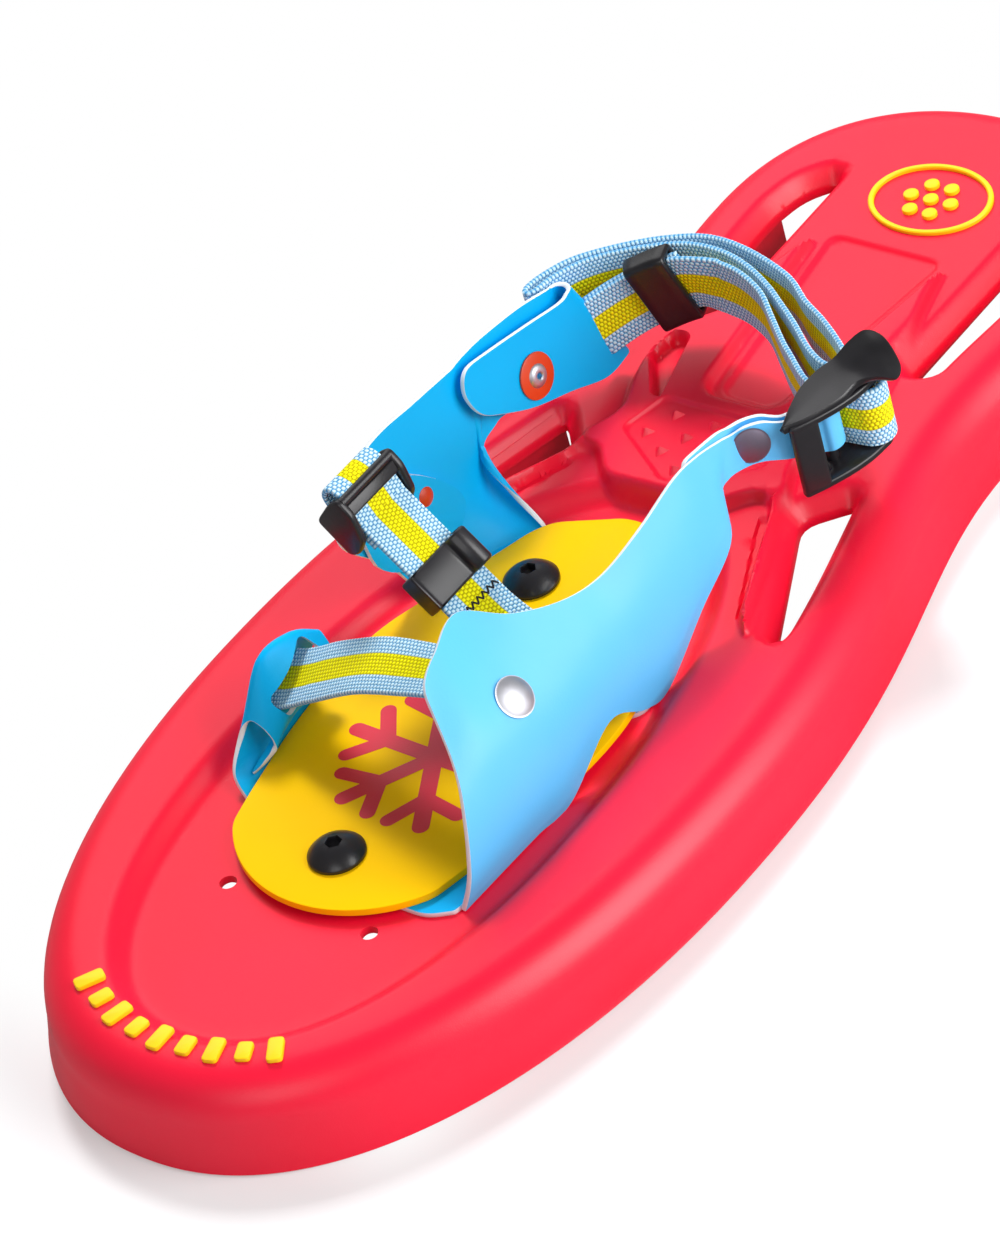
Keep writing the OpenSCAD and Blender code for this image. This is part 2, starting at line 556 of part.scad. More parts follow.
// Toe strap: from inside the lug's hem up over the toes to the inside of the near wing, where
// the dome rivet holds it. It leaves the hem at the window's slope and levels out.
toe_path = spline(concat([[1.8 - side_x, 40], [6.2 - side_x, 41.5], [-34, 44.5], [-26, 49], [-8, 57.5], [10, 62],
    [side_x - 24.2, 64.2]], [for (p = [[-15.6, 64.2], [-9.1, 59.6], [-5.6, 54.2]]) [side_x + p[0], p[1]]]), 3);
function toe_tilt(x) = window_tilt * min(1, max(0, (20 - x) / 45));
toe_rows = [for (p = toe_path) let (d = web_w / 2 * [0, cos(toe_tilt(p[0])), sin(toe_tilt(p[0]))])
    [[p[0], window_at[1], p[1]] - d, [p[0], window_at[1], p[1]] + d]];
module toe_strap() color([0.5, 0.76, 0.88]) place() difference() {
    sheet(toe_rows, web_t);
    at_near_rivet() rivet_seat(dome_r, dome_grip);
}

// Instep strap: a small loop above its buckle, a straight run down through the slider, then a
// sag across to the near wing. Its path lies in a plane across the shoe.
instep_y = -44;
slider_at = [-9, 60.4];
instep_dir = unit([28, -28.5]);
instep_n = [-instep_dir[1], instep_dir[0]];
instep_top = slider_at - instep_dir * 26;
instep_low = slider_at + instep_dir * 15;
function on_strap(s, n) = slider_at + instep_dir * s + instep_n * n;
instep_path = concat(
    spline([on_strap(-18, -2.2), on_strap(-26, -2.4), on_strap(-32, -4), on_strap(-37.5, -2.5),
        on_strap(-38.5, 1.2), on_strap(-34, 3.2), on_strap(-28, 1.2), on_strap(-24, 0)], 3),
    [on_strap(0, 0), instep_low],
    spline([on_strap(20, 0.6), [13, 42.5], [23, 40.5], [side_x - 13, 42.5], [side_x - 6.6, 46.5], [side_x - 4.7, 51.4],
        [side_x - 6.6, 55.5]], 3));
module instep_strap() color([0.5, 0.76, 0.88]) place()
    translate([0, instep_y, 0]) rotate([90, 0, 0]) ribbon(instep_path, web_w, web_t);

// Moves children onto the instep strap, s along it from the slider's place: X along, Y across
module on_instep(s) translate([on_strap(s, 0)[0], instep_y, on_strap(s, 0)[1]])
    rotate([0, atan2(-instep_dir[1], instep_dir[0]), 0]) children();

// Heel strap: one length of webbing, from above. Its sewn end lies in the far wing's fold. From
// there it runs round the heel, round the buckle's outer bar and back outside itself.
layer = web_t + 0.5;
heel_c = [heel_r - 3.8 - side_x, 48];
buckle_a = 61.5;
bar_gap = 14.2;
bar_b = bar_a + bar_gap * [cos(buckle_a), sin(buckle_a)];
loop_r = 5.2;
keeper_at = 117;
heel_a1 = 145;
tilt_a0 = 105;

// Towards the far wing the strap lies in a plane tipped about the radius through the keeper
tip_out = [cos(keeper_at), sin(keeper_at), 0];
tip_along = [-sin(keeper_at) * cos(strap_tilt), cos(keeper_at) * cos(strap_tilt), -sin(strap_tilt)];
tip_up = [-sin(keeper_at) * sin(strap_tilt), cos(keeper_at) * sin(strap_tilt), cos(strap_tilt)];
module tipped() translate([heel_c[0], heel_c[1], heel_z]) rotate(a = -strap_tilt, v = tip_out) children();
function tip_row(a, r, d = [0, 0, 0]) =
    let (p = [heel_c[0], heel_c[1], heel_z] + r * (cos(a - keeper_at) * tip_out + sin(a - keeper_at) * tip_along) + d)
    [p - tip_up * web_w / 2, p + tip_up * web_w / 2];
function turn_row(b) = let (a = heel_a1 + 3 - keeper_at)
    tip_row(heel_a1 + 3, heel_r + layer / 2, layer / 2 * (cos(b) * (cos(a) * tip_out + sin(a) * tip_along)
        + sin(b) * (cos(a) * tip_along - sin(a) * tip_out)));
// Elsewhere it stands upright, with its middle at the third coordinate
function flat_rows(pts) = [for (p = pts) [[p[0], p[1], p[2] - web_w / 2], [p[0], p[1], p[2] + web_w / 2]]];
function at_z(pts, z) = [for (p = pts) [p[0], p[1], z]];
function round_heel(a, r, z) = [heel_c[0] + r * cos(a), heel_c[1] + r * sin(a), z];

split_at = [10.6, 87.8];
// Points near the buckle keep their place from its outer bar
function from_b(pts) = [for (p = pts) bar_b + p];
heel_rows = concat(
    [for (a = [tilt_a0:8:heel_a1]) tip_row(a, heel_r + layer)],
    [for (b = [0:45:180]) turn_row(b)],
    [for (a = [heel_a1:-8:tilt_a0]) tip_row(a, heel_r)],
    flat_rows(concat(
        spline(concat([round_heel(93, heel_r - 0.2, heel_z + 3), round_heel(80, heel_r - 0.7, heel_z + 2.4),
            round_heel(65, heel_r - 1.5, heel_z + 1.2), round_heel(50, heel_r - 2.7, heel_z)],
            at_z(from_b([[-32.3, 6.6], [-26.3, 2], [-19.5, -3.2], [-14.6, -6], [-10, -6.6], [-4.8, -5.8]]), heel_z)), 3),
        at_z(arc(bar_b, loop_r, -88, 107, 9), heel_z),
        at_z(spline(concat(from_b([[-8.7, 3.3], [-15.2, 2.4], [-23.2, 6.4], [-32.4, 13.5], [-39, 18.2]]), [split_at]), 3),
            heel_z))));
module heel_strap() color([0.5, 0.76, 0.88]) place() sheet(heel_rows, web_t);

// The rest of it: outside the keeper to the far side, folded there, and back to its hemmed end
function from_heel(pts) = [for (p = pts) heel_c + p];
tail_path = spline(concat([split_at + [-0.13, 0.09], [0, 93.4]],
    from_heel([[-4, 49], [-17, 48.4], [-30.5, 41], [-40.5, 31.9], [-45.6, 22], [-47, 15], [-48.6, 12.8],
        [-50.2, 15], [-49, 22], [-44.5, 31.5], [-34, 41.9], [-23, 49.4], [-12, 53.5], [2, 52.4]]),
    from_b([[-47.3, 31.5], [-36.3, 24], [-27.3, 19], [-20.3, 14.5], [-13.8, 9.8]])), 3);
module heel_strap_tail() color([0.5, 0.76, 0.88]) place() translate([0, 0, heel_z])
    ribbon(tail_path, web_w, web_t);

// Room round both layers of the strap where it comes out of the far wing's fold
module strap_room() tipped() rotate([0, 0, heel_a1 - 14]) rotate_extrude(angle = 20, $fn = 90)
    translate([heel_r - web_t / 2 - 0.4, -web_w / 2 - 0.6]) square([layer + web_t + 0.8, web_w + 1.2]);

// ---- Buckles and keepers ------------------------------------------------

black = [0.08, 0.08, 0.09];

// A rectangular moulded loop: l along the strap, w by h the space inside, walls t
module loop(l, w, h, t) difference() {
    cube([l, w + 2 * t, h + 2 * t], center = true);
    cube([l + 1, w, h], center = true);
}

module heel_keeper() color(black) place() tipped()
    rotate([0, 0, keeper_at - keeper_l / heel_r * 180 / PI / 2])
        rotate_extrude(angle = keeper_l / heel_r * 180 / PI, $fn = 180) difference() {
            r0 = heel_r - web_t / 2 - run_gap;
            r1 = heel_r + layer + web_t / 2 + run_gap;
            h = web_w + 2 * run_gap;
            translate([r0 - keeper_wall, -h / 2 - keeper_wall]) square([r1 - r0 + 2 * keeper_wall, h + 2 * keeper_wall]);
            translate([r0, -h / 2]) square([r1 - r0, h]);
        }

slider_l = 12;
module instep_slider() color(black) place() on_instep(0) {
    loop(slider_l, web_w + 2 * run_gap, web_t + 2 * run_gap, keeper_wall);
    for (s = [-1, 1]) translate([s * (slider_l / 2 - 0.6), 0, web_t / 2 + run_gap + keeper_wall])
        rotate([90, 0, 0]) cylinder(r = 1.2, h = web_w, center = true, $fn = 24);
}

ladder_l = 5;
ladder_h = 9;
ladder_at = -26;
module instep_buckle() color(black) place() on_instep(ladder_at) translate([0, 0, -1.2]) {
    loop(ladder_l, web_w + 2 * run_gap, ladder_h, 2.6);
    for (e = [-1, 1]) translate([0, 0, e * (ladder_h / 2 + 1.3)]) rotate([90, 0, 0])
        cylinder(r = 2.6, h = web_w + 6, center = true, $fn = 32);
}

// Heel buckle, standing upright, drawn from its inner bar with X towards its outer bar. The frame's
// near wall stands in front of the arm, and a leaf-shaped thumb tab lies over the top.
buckle_in = web_w + 2 * run_gap;
tab_t = 2.2;
post = [[-12.5, -9.2], [-6.7, -6.7]];
tab_rows = [[-14.5, -7.5, -6.5, 1.8], [-9, -8.5, -1, 2.2], [-3, -8.5, 4, 2.5], [4, -7.8, 7, 3], [10, -5, 7, 4.5],
    [15, -4.5, 6.5, 8], [20, -4.2, 5.2, 11]];
module post_outline() translate(post[0]) square(post[1] - post[0]);
module heel_buckle() color(black) place() translate([bar_a[0], bar_a[1], heel_z]) rotate([0, 0, buckle_a]) {
    for (x = [0, bar_gap]) translate([x, 0, 0]) cylinder(d = bar_d, h = buckle_in + 1, center = true);
    for (z = [-buckle_in / 2 - tab_t, buckle_in / 2]) translate([0, 0, z]) linear_extrude(tab_t) hull() {
        circle(5.5, $fn = 28);
        translate([bar_gap, 0]) circle(4.5, $fn = 24);
        post_outline();
    }
    translate([0, 0, -buckle_in / 2 - tab_t / 2]) linear_extrude(buckle_in + tab_t) post_outline();
    sheet(fine_grid([for (r = tab_rows) let (z = buckle_in / 2 + r[3])
        [[r[0], r[1], z], [r[0], (r[1] + r[2]) / 2, z - 0.5], [r[0], r[2], z]]], 3, 2), tab_t);
}

// ---- Rivets -------------------------------------------------------------

// A rivet through sheets of thickness grip in all: its head of radius r and height h lies on the
// outside at z = 0, and the stem ends in a closed head inside
module rivet(r, h, grip, hollow = false) difference() {
    union() {
        rotate_extrude($fn = 24) intersection() {
            translate([0, h - (r * r + h * h) / (2 * h)]) circle((r * r + h * h) / (2 * h), $fn = 44);
            square([r, h]);
        }
        translate([0, 0, -grip]) cylinder(r = r * 0.4, h = grip + 0.1, $fn = 16);
        translate([0, 0, -grip - 0.8]) cylinder(r = r * 0.6, h = 0.8, $fn = 20);
    }
    if (hollow) translate([0, 0, -grip - 2]) cylinder(r = r * 0.28, h = grip + h + 4, $fn = 16);
}

// What a rivet takes out of the sheets: its hole and flat seats for both heads
module rivet_seat(r, grip) {
    translate([0, 0, -grip - 1]) cylinder(r = r * 0.4 + 0.1, h = grip + 2, $fn = 16);
    cylinder(r = r + 0.3, h = 3, $fn = 24);
    translate([0, 0, -grip - 2]) cylinder(r = r * 0.6 + 0.3, h = 2, $fn = 20);
}

dome_r = 6;
dome_grip = sheet_t + web_t + 0.3;
arm_rivet_r = 4.8;
arm_grip = 2 * sheet_t + 0.7;
eyelet_r = 3.6;
eyelet_grip = 2 * sheet_t + 2.6;
washer_r = 7;
ring_t = 0.6;
tab_rivet_r = 3.4;
tab_grip = 2 * sheet_t + tab_gap + 0.4;
lug_rivet_r = 2.4;
lug_grip = 3;
module at_near_rivet() translate([side_x - 6.6, -77, 60.9]) rotate([0, 51, -6]) children();
module at_arm_rivet() translate([side_x - 5.6, 31, 56.8]) rotate([0, 57, 0]) children();
module at_far_eyelet() translate([3.6 - side_x, 42, 52.4]) rotate([0, 79, 0]) children();
module at_tab_rivet() translate([1.5 - side_x, -10.3, 48.7]) rotate([0, 80.5, 0]) children();
module at_lug_rivet() translate([-side_x + 2.5, -91.5, 40.5]) rotate([0, 75, 0]) children();
steel = [0.8, 0.8, 0.82];
module near_rivet() color(steel) place() at_near_rivet() rivet(dome_r, 1.6, dome_grip);
module arm_rivet() color(steel) place() at_arm_rivet() rivet(arm_rivet_r, 0.8, arm_grip);
module far_eyelet() color(steel) place() at_far_eyelet() translate([0, 0, ring_t]) rivet(eyelet_r, 1, eyelet_grip + ring_t, true);
module far_washer() color([0.85, 0.25, 0.1]) place() at_far_eyelet() difference() {
    cylinder(r = washer_r, h = ring_t, $fn = 40);
    translate([0, 0, -1]) cylinder(r = eyelet_r * 0.4 + 0.1, h = ring_t + 2, $fn = 24);
}
module tab_rivet() color([0.85, 0.4, 0.1]) place() at_tab_rivet() rivet(tab_rivet_r, 0.9, tab_grip);
module lug_rivet() color(steel) place() at_lug_rivet() rivet(lug_rivet_r, 0.8, lug_grip);

deck();
toe_motif();
tail_motif();
foot_plate();
plate_bolts();
bolt_washers();
bolt_nuts();
harness_base();
near_wing();
far_wing();
instep_tab();
toe_lug();
toe_strap();
instep_strap();
heel_strap();
heel_strap_tail();
heel_buckle();
heel_keeper();
instep_buckle();
instep_slider();
near_rivet();
arm_rivet();
far_eyelet();
far_washer();
tab_rivet();
lug_rivet();
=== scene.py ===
# %% [markdown]
# A child's moulded snowshoe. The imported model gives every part's place in metres, and this
# lesson makes what is seen: the smooth deck, the bent binding sheets, the woven straps, the
# moulded buckles and the small metal parts. First come the frame and its box.

# %% Load the frame
import bpy, bmesh
import numpy as np
from math import atan2, copysign, cos, hypot, pi, radians, sin, sqrt, tan
from mathutils import Matrix, Vector
from mathutils.geometry import delaunay_2d_cdt


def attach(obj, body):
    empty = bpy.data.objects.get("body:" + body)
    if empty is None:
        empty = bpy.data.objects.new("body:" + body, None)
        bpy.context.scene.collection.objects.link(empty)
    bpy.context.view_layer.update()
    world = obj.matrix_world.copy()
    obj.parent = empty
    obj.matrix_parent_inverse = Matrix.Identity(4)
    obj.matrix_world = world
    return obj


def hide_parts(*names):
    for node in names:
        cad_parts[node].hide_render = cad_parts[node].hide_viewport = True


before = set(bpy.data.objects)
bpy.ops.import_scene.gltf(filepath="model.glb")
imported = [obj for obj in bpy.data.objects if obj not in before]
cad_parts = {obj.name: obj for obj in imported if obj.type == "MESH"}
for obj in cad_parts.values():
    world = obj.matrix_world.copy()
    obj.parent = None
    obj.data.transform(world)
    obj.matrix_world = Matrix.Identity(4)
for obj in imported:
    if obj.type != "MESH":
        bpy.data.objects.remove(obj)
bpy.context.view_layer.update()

MM = 0.001

def new_object(name, data):
    obj = bpy.data.objects.new(name, data)
    bpy.context.scene.collection.objects.link(obj)
    return obj

# %% [markdown]
# Long lenses keep a product's proportions, so the camera stands about 1.7 m away with a
# 216 mm lens. It looks down across the toe, rolled a little so that the shoe runs
# from corner to corner.

# %% Camera
back = Vector((0.564, -0.528, 0.634)).normalized()
right = Vector((0.787, 0.577, -0.220))
right = (right - back * right.dot(back)).normalized()
camera_data = bpy.data.cameras.new("camera")
camera_data.lens, camera_data.sensor_width, camera_data.sensor_fit = 216.0, 36.0, "HORIZONTAL"
camera_data.clip_start, camera_data.clip_end = 0.05, 20.0
camera = new_object("camera", camera_data)
camera.matrix_world = Matrix((right, back.cross(right), back)).transposed().to_4x4()
camera.location = Vector((926.6, -912.4, 1081.1)) * MM
bpy.context.scene.camera = camera

# %% [markdown]
# Shader maths reads best as ordinary expressions. `Tree` adds nodes to one material, or to
# the world, and `Wire` wraps a socket, so `0.3 + mask * 0.5` builds the Math nodes by itself.

# %% Shader helpers
class Wire:
    def __init__(self, tree, socket):
        self.tree, self.socket = tree, socket

    def math(self, operation, *others):
        return self.tree.add("Math", dict(operation=operation), dict(enumerate((self, *others))))

    def __add__(self, o): return self.math("ADD", o)
    def __sub__(self, o): return self.math("SUBTRACT", o)
    def __mul__(self, o): return self.math("MULTIPLY", o)
    def __truediv__(self, o): return self.math("DIVIDE", o)
    __radd__, __rmul__ = __add__, __mul__

    def step(self, low, high):
        """0 below low, 1 above high, smooth between them."""
        return self.tree.add("MapRange", dict(interpolation_type="SMOOTHSTEP"),
                             {"Value": self, "From Min": low, "From Max": high})


class Tree:
    def __init__(self, name, shelf="materials"):
        self.material = getattr(bpy.data, shelf).new(name)
        self.material.use_nodes = True
        self.nodes, self.links = self.material.node_tree.nodes, self.material.node_tree.links

    def feed(self, node, values):
        for key, value in values.items():
            socket = node.inputs[key]
            if isinstance(value, Wire):
                self.links.new(value.socket, socket)
            else:
                socket.default_value = (*value, 1.0) if socket.type == "RGBA" else value
        return node

    def add(self, kind, settings={}, values={}, out=0):
        node = self.nodes.new("ShaderNode" + kind)
        for key, value in settings.items():
            setattr(node, key, value)
        return Wire(self, self.feed(node, values).outputs[out])

    def surface(self, **values):
        shown = {key.replace("_", " "): value for key, value in values.items()}
        self.feed(self.nodes["Principled BSDF"], shown)
        return self.material

    def place(self): return self.add("TexCoord", out="Object")

    def noise(self, scale, detail=2.0):
        return self.add("TexNoise", values={"Vector": self.place(), "Scale": scale, "Detail": detail})

    def mix(self, factor, first, second):
        return self.add("Mix", dict(data_type="RGBA"), {0: factor, 6: first, 7: second}, out=2)

    def bump(self, height, distance):
        return self.add("Bump", values={"Height": height, "Distance": distance, "Strength": 1.0})

    def split(self, vector):
        node = self.feed(self.nodes.new("ShaderNodeSeparateXYZ"), {0: vector})
        return [Wire(self, socket) for socket in node.outputs]

# %% [markdown]
# Colours are written as screen values and turned linear once, so they can be compared
# with a swatch.

# %% Colour helper
def rgb(*screen):
    return tuple(c / 255 / 12.92 if c < 11 else ((c / 255 + 0.055) / 1.055) ** 2.4 for c in screen)

# %% [markdown]
# The deck is satin injection-moulded plastic: an even colour, a fine spark-eroded grain
# and slow waves where the wall cooled. Two noises give the grain and the waves.

# %% Deck plastic
def deck_plastic():
    t = Tree("deck_red")
    waves, grain = t.noise(14.0, 3.0), t.noise(2600.0)
    colour = t.mix(waves.step(0.35, 0.65), rgb(238, 8, 48), rgb(242, 12, 54))
    return t.surface(Base_Color=colour, Roughness=0.33 + 0.08 * waves, Normal=t.bump(grain, 0.00004))

red = deck_plastic()

# %% [markdown]
# The binding sheets and the foot plate are die-cut from smooth plastic sheet. The faces are
# satin, and the cut edges show the paler core. The same recipe serves the print, the raised
# motifs and the orange washers.

# %% Sheet plastics
def sheet_plastic(name, colour, darker, rough, shine=0.5):
    t = Tree(name)
    cloud, grain = t.noise(22.0, 3.0), t.noise(1500.0)
    return t.surface(Base_Color=t.mix(cloud.step(0.3, 0.7), colour, darker), Roughness=rough + 0.06 * cloud,
                     Normal=t.bump(grain, 0.00003), Specular_IOR_Level=shine)

blue = sheet_plastic("harness_blue", rgb(0, 176, 240), rgb(0, 170, 234), 0.4, 0.15)
# A paler copy of the blue for the near wing: painted sheen and light on the same plastic as the other sheets.
blue_painted_sheen = sheet_plastic("harness_blue_light", rgb(92, 188, 243), rgb(84, 185, 241), 0.4, 0.45)
yellow = sheet_plastic("plate_yellow", rgb(255, 202, 0), rgb(253, 197, 0), 0.36, 0.1)
core_white = sheet_plastic("cut_edge", rgb(228, 234, 240), rgb(216, 224, 232), 0.6)
flake_red = sheet_plastic("print_red", rgb(222, 32, 62), rgb(212, 28, 58), 0.3)
motif = sheet_plastic("motif_yellow", rgb(252, 208, 4), rgb(248, 202, 2), 0.34)
orange = sheet_plastic("washer_orange", rgb(214, 66, 16), rgb(190, 52, 12), 0.4)

# %% [markdown]
# Black buckles are satin with a fine grain, and lighter where fingers polish them.

# %% Black plastic
def black_plastic():
    t = Tree("buckle_black")
    grain, cloud, scratches = t.noise(2200.0), t.noise(60.0, 3.0), t.noise(240.0, 4.0)
    return t.surface(Base_Color=t.mix(cloud.step(0.3, 0.7), rgb(18, 17, 20), rgb(30, 28, 32)),
                     Roughness=0.26 + 0.1 * cloud + 0.08 * scratches, Normal=t.bump(grain, 0.00003),
                     Coat_Weight=0.15, Coat_Roughness=0.2)

moulded = black_plastic()

# %% [markdown]
# Rivet heads are stamped metal with soft dents. The washers and nuts under the deck are the
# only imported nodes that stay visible, and they get plain steel.

# %% Metals
def metal(name, colour, rough):
    t = Tree(name)
    rings, dents = t.noise(420.0, 3.0), t.noise(140.0)
    return t.surface(Base_Color=colour, Metallic=1.0, Roughness=rough + 0.16 * rings,
                     Normal=t.bump(dents, 0.00003))

bright = metal("rivet_bright", rgb(200, 200, 207), 0.4)
dull = metal("rivet_dull", rgb(150, 140, 158), 0.42)
plain = Tree("rivet_steel")
steel = plain.surface(Base_Color=rgb(205, 208, 212), Metallic=1.0, Roughness=0.25 + 0.15 * plain.noise(300.0))
for name in ("bolt_washers", "bolt_nuts"):
    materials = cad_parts[name].data.materials
    materials.clear()
    materials.append(steel)

# %% [markdown]
# The shapes repeat the CAD's own numbers in millimetres, drawn from the binding's reference
# point. A part is a pair of points and faces. `make` turns it into a mesh in metres and
# `claim` tells which body it rides on and which imported node it stands for.

# %% Mesh helpers
BIND_Y = -6.0

def make(name, part, materials=(), kinds=None, smooth_angle=40):
    points, faces = part
    mesh = bpy.data.meshes.new(name)
    points = (np.asarray(points, float) + [0, BIND_Y, 0]) * MM
    mesh.from_pydata(points.tolist(), [], [list(map(int, f)) for f in faces])
    for material in materials:
        mesh.materials.append(material)
    if kinds is not None:
        mesh.polygons.foreach_set("material_index", np.asarray(kinds, dtype=np.int32))
    mesh.shade_smooth()
    mesh.set_sharp_from_angle(angle=radians(smooth_angle))
    mesh.update()
    return new_object(name, mesh)

def claim(obj, stands_for=None, body="snowshoe"):
    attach(obj, body)
    if stands_for:
        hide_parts(stands_for)
    return obj

def add_piece(name, part, materials, slot, stands_for=None, body="snowshoe", **looks):
    return claim(make(name, part, materials, **looks), stands_for, body)

def bands(size, count, down=False, closed=False):
    """Faces between rings of points that run upwards, or down, with a cap on either end."""
    at = lambda k, i: k % count * size + i % size
    faces = [[at(k, i), at(k, i + 1), at(k + 1, i + 1), at(k + 1, i)]
             for k in range(count if closed else count - 1) for i in range(size)]
    if not closed:
        faces += [[at(count - 1, i) for i in range(size)], [at(0, i) for i in reversed(range(size))]]
    return [f[::-1] for f in faces] if down else faces

def sewn(levels):
    """Faces that join neighbouring rings, each ring a list of point numbers."""
    n = len(levels[0])
    return [[a[i], b[i], b[(i + 1) % n], a[(i + 1) % n]] for a, b in zip(levels, levels[1:]) for i in range(n)]

def placed(part, *matrices):
    """The part moved by the matrices' product."""
    m = np.eye(4)
    for matrix in matrices:
        m = m @ np.array(matrix)
    return np.asarray(part[0], float) @ m[:3, :3].T + m[:3, 3], part[1]

def joined(parts):
    points, faces = [], []
    for part_points, part_faces in parts:
        start = sum(map(len, points))
        points.append(np.asarray(part_points, float))
        faces += [[start + i for i in f] for f in part_faces]
    return np.vstack(points), faces

def bake(piece, helper):
    """Turns the piece's modifiers into plain mesh and removes the helper object."""
    mesh = bpy.data.meshes.new_from_object(piece.evaluated_get(bpy.context.evaluated_depsgraph_get()))
    piece.modifiers.clear()
    piece.data = mesh
    bpy.data.objects.remove(helper)
    return piece

shift = lambda x, y, z: Matrix.Translation((x, y, z))
turned = lambda degrees, axis: Matrix.Rotation(radians(degrees), 4, axis)

# %% [markdown]
# Every outline of the deck comes from two rounded lobes joined by a drawn-in waist, so the
# same few functions give the rim, the basin and the edges of the slots.

# %% Curves
def catmull(points, steps):
    """Smooth curve through points along their first axis, steps to a span."""
    p = np.asarray(points, float)
    p = np.concatenate([p[:1], p, p[-1:]])
    t = (np.arange(steps) / steps).reshape(-1, *[1] * (p.ndim - 1))
    spans = [0.5 * (2 * b + (c - a) * t + (2 * a - 5 * b + 4 * c - d) * t**2 + (3 * b - a - 3 * c + d) * t**3)
             for a, b, c, d in zip(p, p[1:], p[2:], p[3:])]
    return np.concatenate(spans + [p[-1:]])

def lobe(middle, half_width, reach, start, stop, steps=40, power=2.2):
    a = np.radians(np.linspace(start, stop, steps + 1))
    bend = lambda v: np.sign(v) * np.abs(v) ** (2 / power)
    return np.stack([half_width * bend(np.cos(a)), middle + reach * bend(np.sin(a))], 1)

def both_halves(right):
    return np.concatenate([right, (right[1:-1] * [-1, 1])[::-1]])

def mirrored(outline):
    return (outline * [-1, 1])[::-1]

def run_along(path):
    return np.r_[0, np.cumsum(np.linalg.norm(np.diff(path, axis=0), axis=1))]

def resample(path, count, closed=True):
    """Evenly spaced points round a closed outline, or from end to end of an open path."""
    path = np.vstack([path, path[:1]]) if closed else np.array(path, float)
    length = run_along(path)
    at = np.linspace(0, length[-1], count, endpoint=not closed)
    return np.column_stack([np.interp(at, length, values) for values in path.T])

def rounded(corners, radius, steps=6):
    """The outline with each corner replaced by a curve that starts radius before it."""
    p, t, out = np.asarray(corners, float), np.linspace(0, 1, steps)[:, None], []
    for a, b, c in zip(np.roll(p, 1, 0), p, np.roll(p, -1, 0)):
        before, after = np.linalg.norm(a - b), np.linalg.norm(c - b)
        reach = min(radius, 0.45 * before, 0.45 * after)
        start, stop = b + (a - b) / before * reach, b + (c - b) / after * reach
        out.append((1 - t)**2 * start + 2 * t * (1 - t) * b + t**2 * stop)
    return np.concatenate(out)

def rounded_rect(low, high, radius):
    (x0, y0), (x1, y1) = low, high
    return rounded([(x0, y0), (x1, y0), (x1, y1), (x0, y1)], radius)

def arc(centre, radius, degrees):
    a = np.radians(degrees)
    return np.asarray(centre, float) + radius * np.column_stack([np.cos(a), np.sin(a)])

def circle(radius, count, centre=(0, 0)):
    return arc(centre, radius, np.linspace(0, 360, count, endpoint=False))

def outward(outline):
    along = np.roll(outline, -1, 0) - np.roll(outline, 1, 0)
    along /= np.linalg.norm(along, axis=1)[:, None]
    return np.stack([along[:, 1], -along[:, 0]], 1)

def at_levels(outline, levels):
    """One ring of points for each (inset, height)."""
    side = outward(outline)
    return [np.column_stack([outline - inset * side, np.full(len(outline), z)]) for inset, z in levels]

def prism(outline, levels, down=False):
    return np.vstack(at_levels(outline, levels)), bands(len(outline), len(levels), down)

def soft_slab(outline, z0, z1, soft=0.6):
    """A flat solid with both of its rims softened."""
    return prism(outline, [(soft, z0), (0.3 * soft, z0 + 0.3 * soft), (0, z0 + soft),
                           (0, z1 - soft), (0.3 * soft, z1 - 0.3 * soft), (soft, z1)])

# %% [markdown]
# The deck's outlines: the moulding's top edge, the sunk basin, the X-shaped heel platform,
# two pairs of slots, and the small recesses in the platform.

# %% Deck outlines
DECK_H, WALL, EDGE_R, FLARE = 27.0, 2.5, 13.0, 3.0
BASIN_Z, SLOPE_Z, PLATFORM_Z = 22.0, 21.0, 31.0
PLATFORM_SLOPE, SLOT_SLOPE = 10 / 3.5, 10.1 / 7
TOE_Y, TAIL_Y, TOP_HW, TAIL_HW = -213.5, 225.5, 89.0, 68.0
FRONT_C, TAIL_C, HEEL_Y = TOE_Y + 160, TAIL_Y - 67, 55.0
BASIN_C, BASIN_HW = -90, 58

def mid_half_width(y):
    t = (np.asarray(y, float) - FRONT_C) / (TAIL_C - FRONT_C)
    return TOP_HW - (TOP_HW - TAIL_HW) * (1 - np.cos(pi * t)) / 2 - 8 * np.sin(pi * t**1.6)**2

waist = np.arange(FRONT_C + 6, TAIL_C - 3, 6)
deck_edge = resample(both_halves(np.concatenate([
    lobe(FRONT_C, TOP_HW, FRONT_C - TOE_Y, -90, 0), np.stack([mid_half_width(waist), waist], 1),
    lobe(TAIL_C, TAIL_HW, TAIL_Y - TAIL_C, 0, 90)])), 560)
basin = resample(both_halves(np.concatenate([lobe(BASIN_C, BASIN_HW, BASIN_C - (TOE_Y + 18.5), -90, 0),
                                             lobe(BASIN_C, BASIN_HW, 129, 0, 90)[1:]])), 300)

def heel(points):
    return np.asarray(points, float) + [0, HEEL_Y]

def side_slot(before, ys, inset, after):
    """A slot whose outer edge follows the deck's own side."""
    return rounded([*before, *np.stack([mid_half_width(ys) - inset, ys], 1), *after], 5)

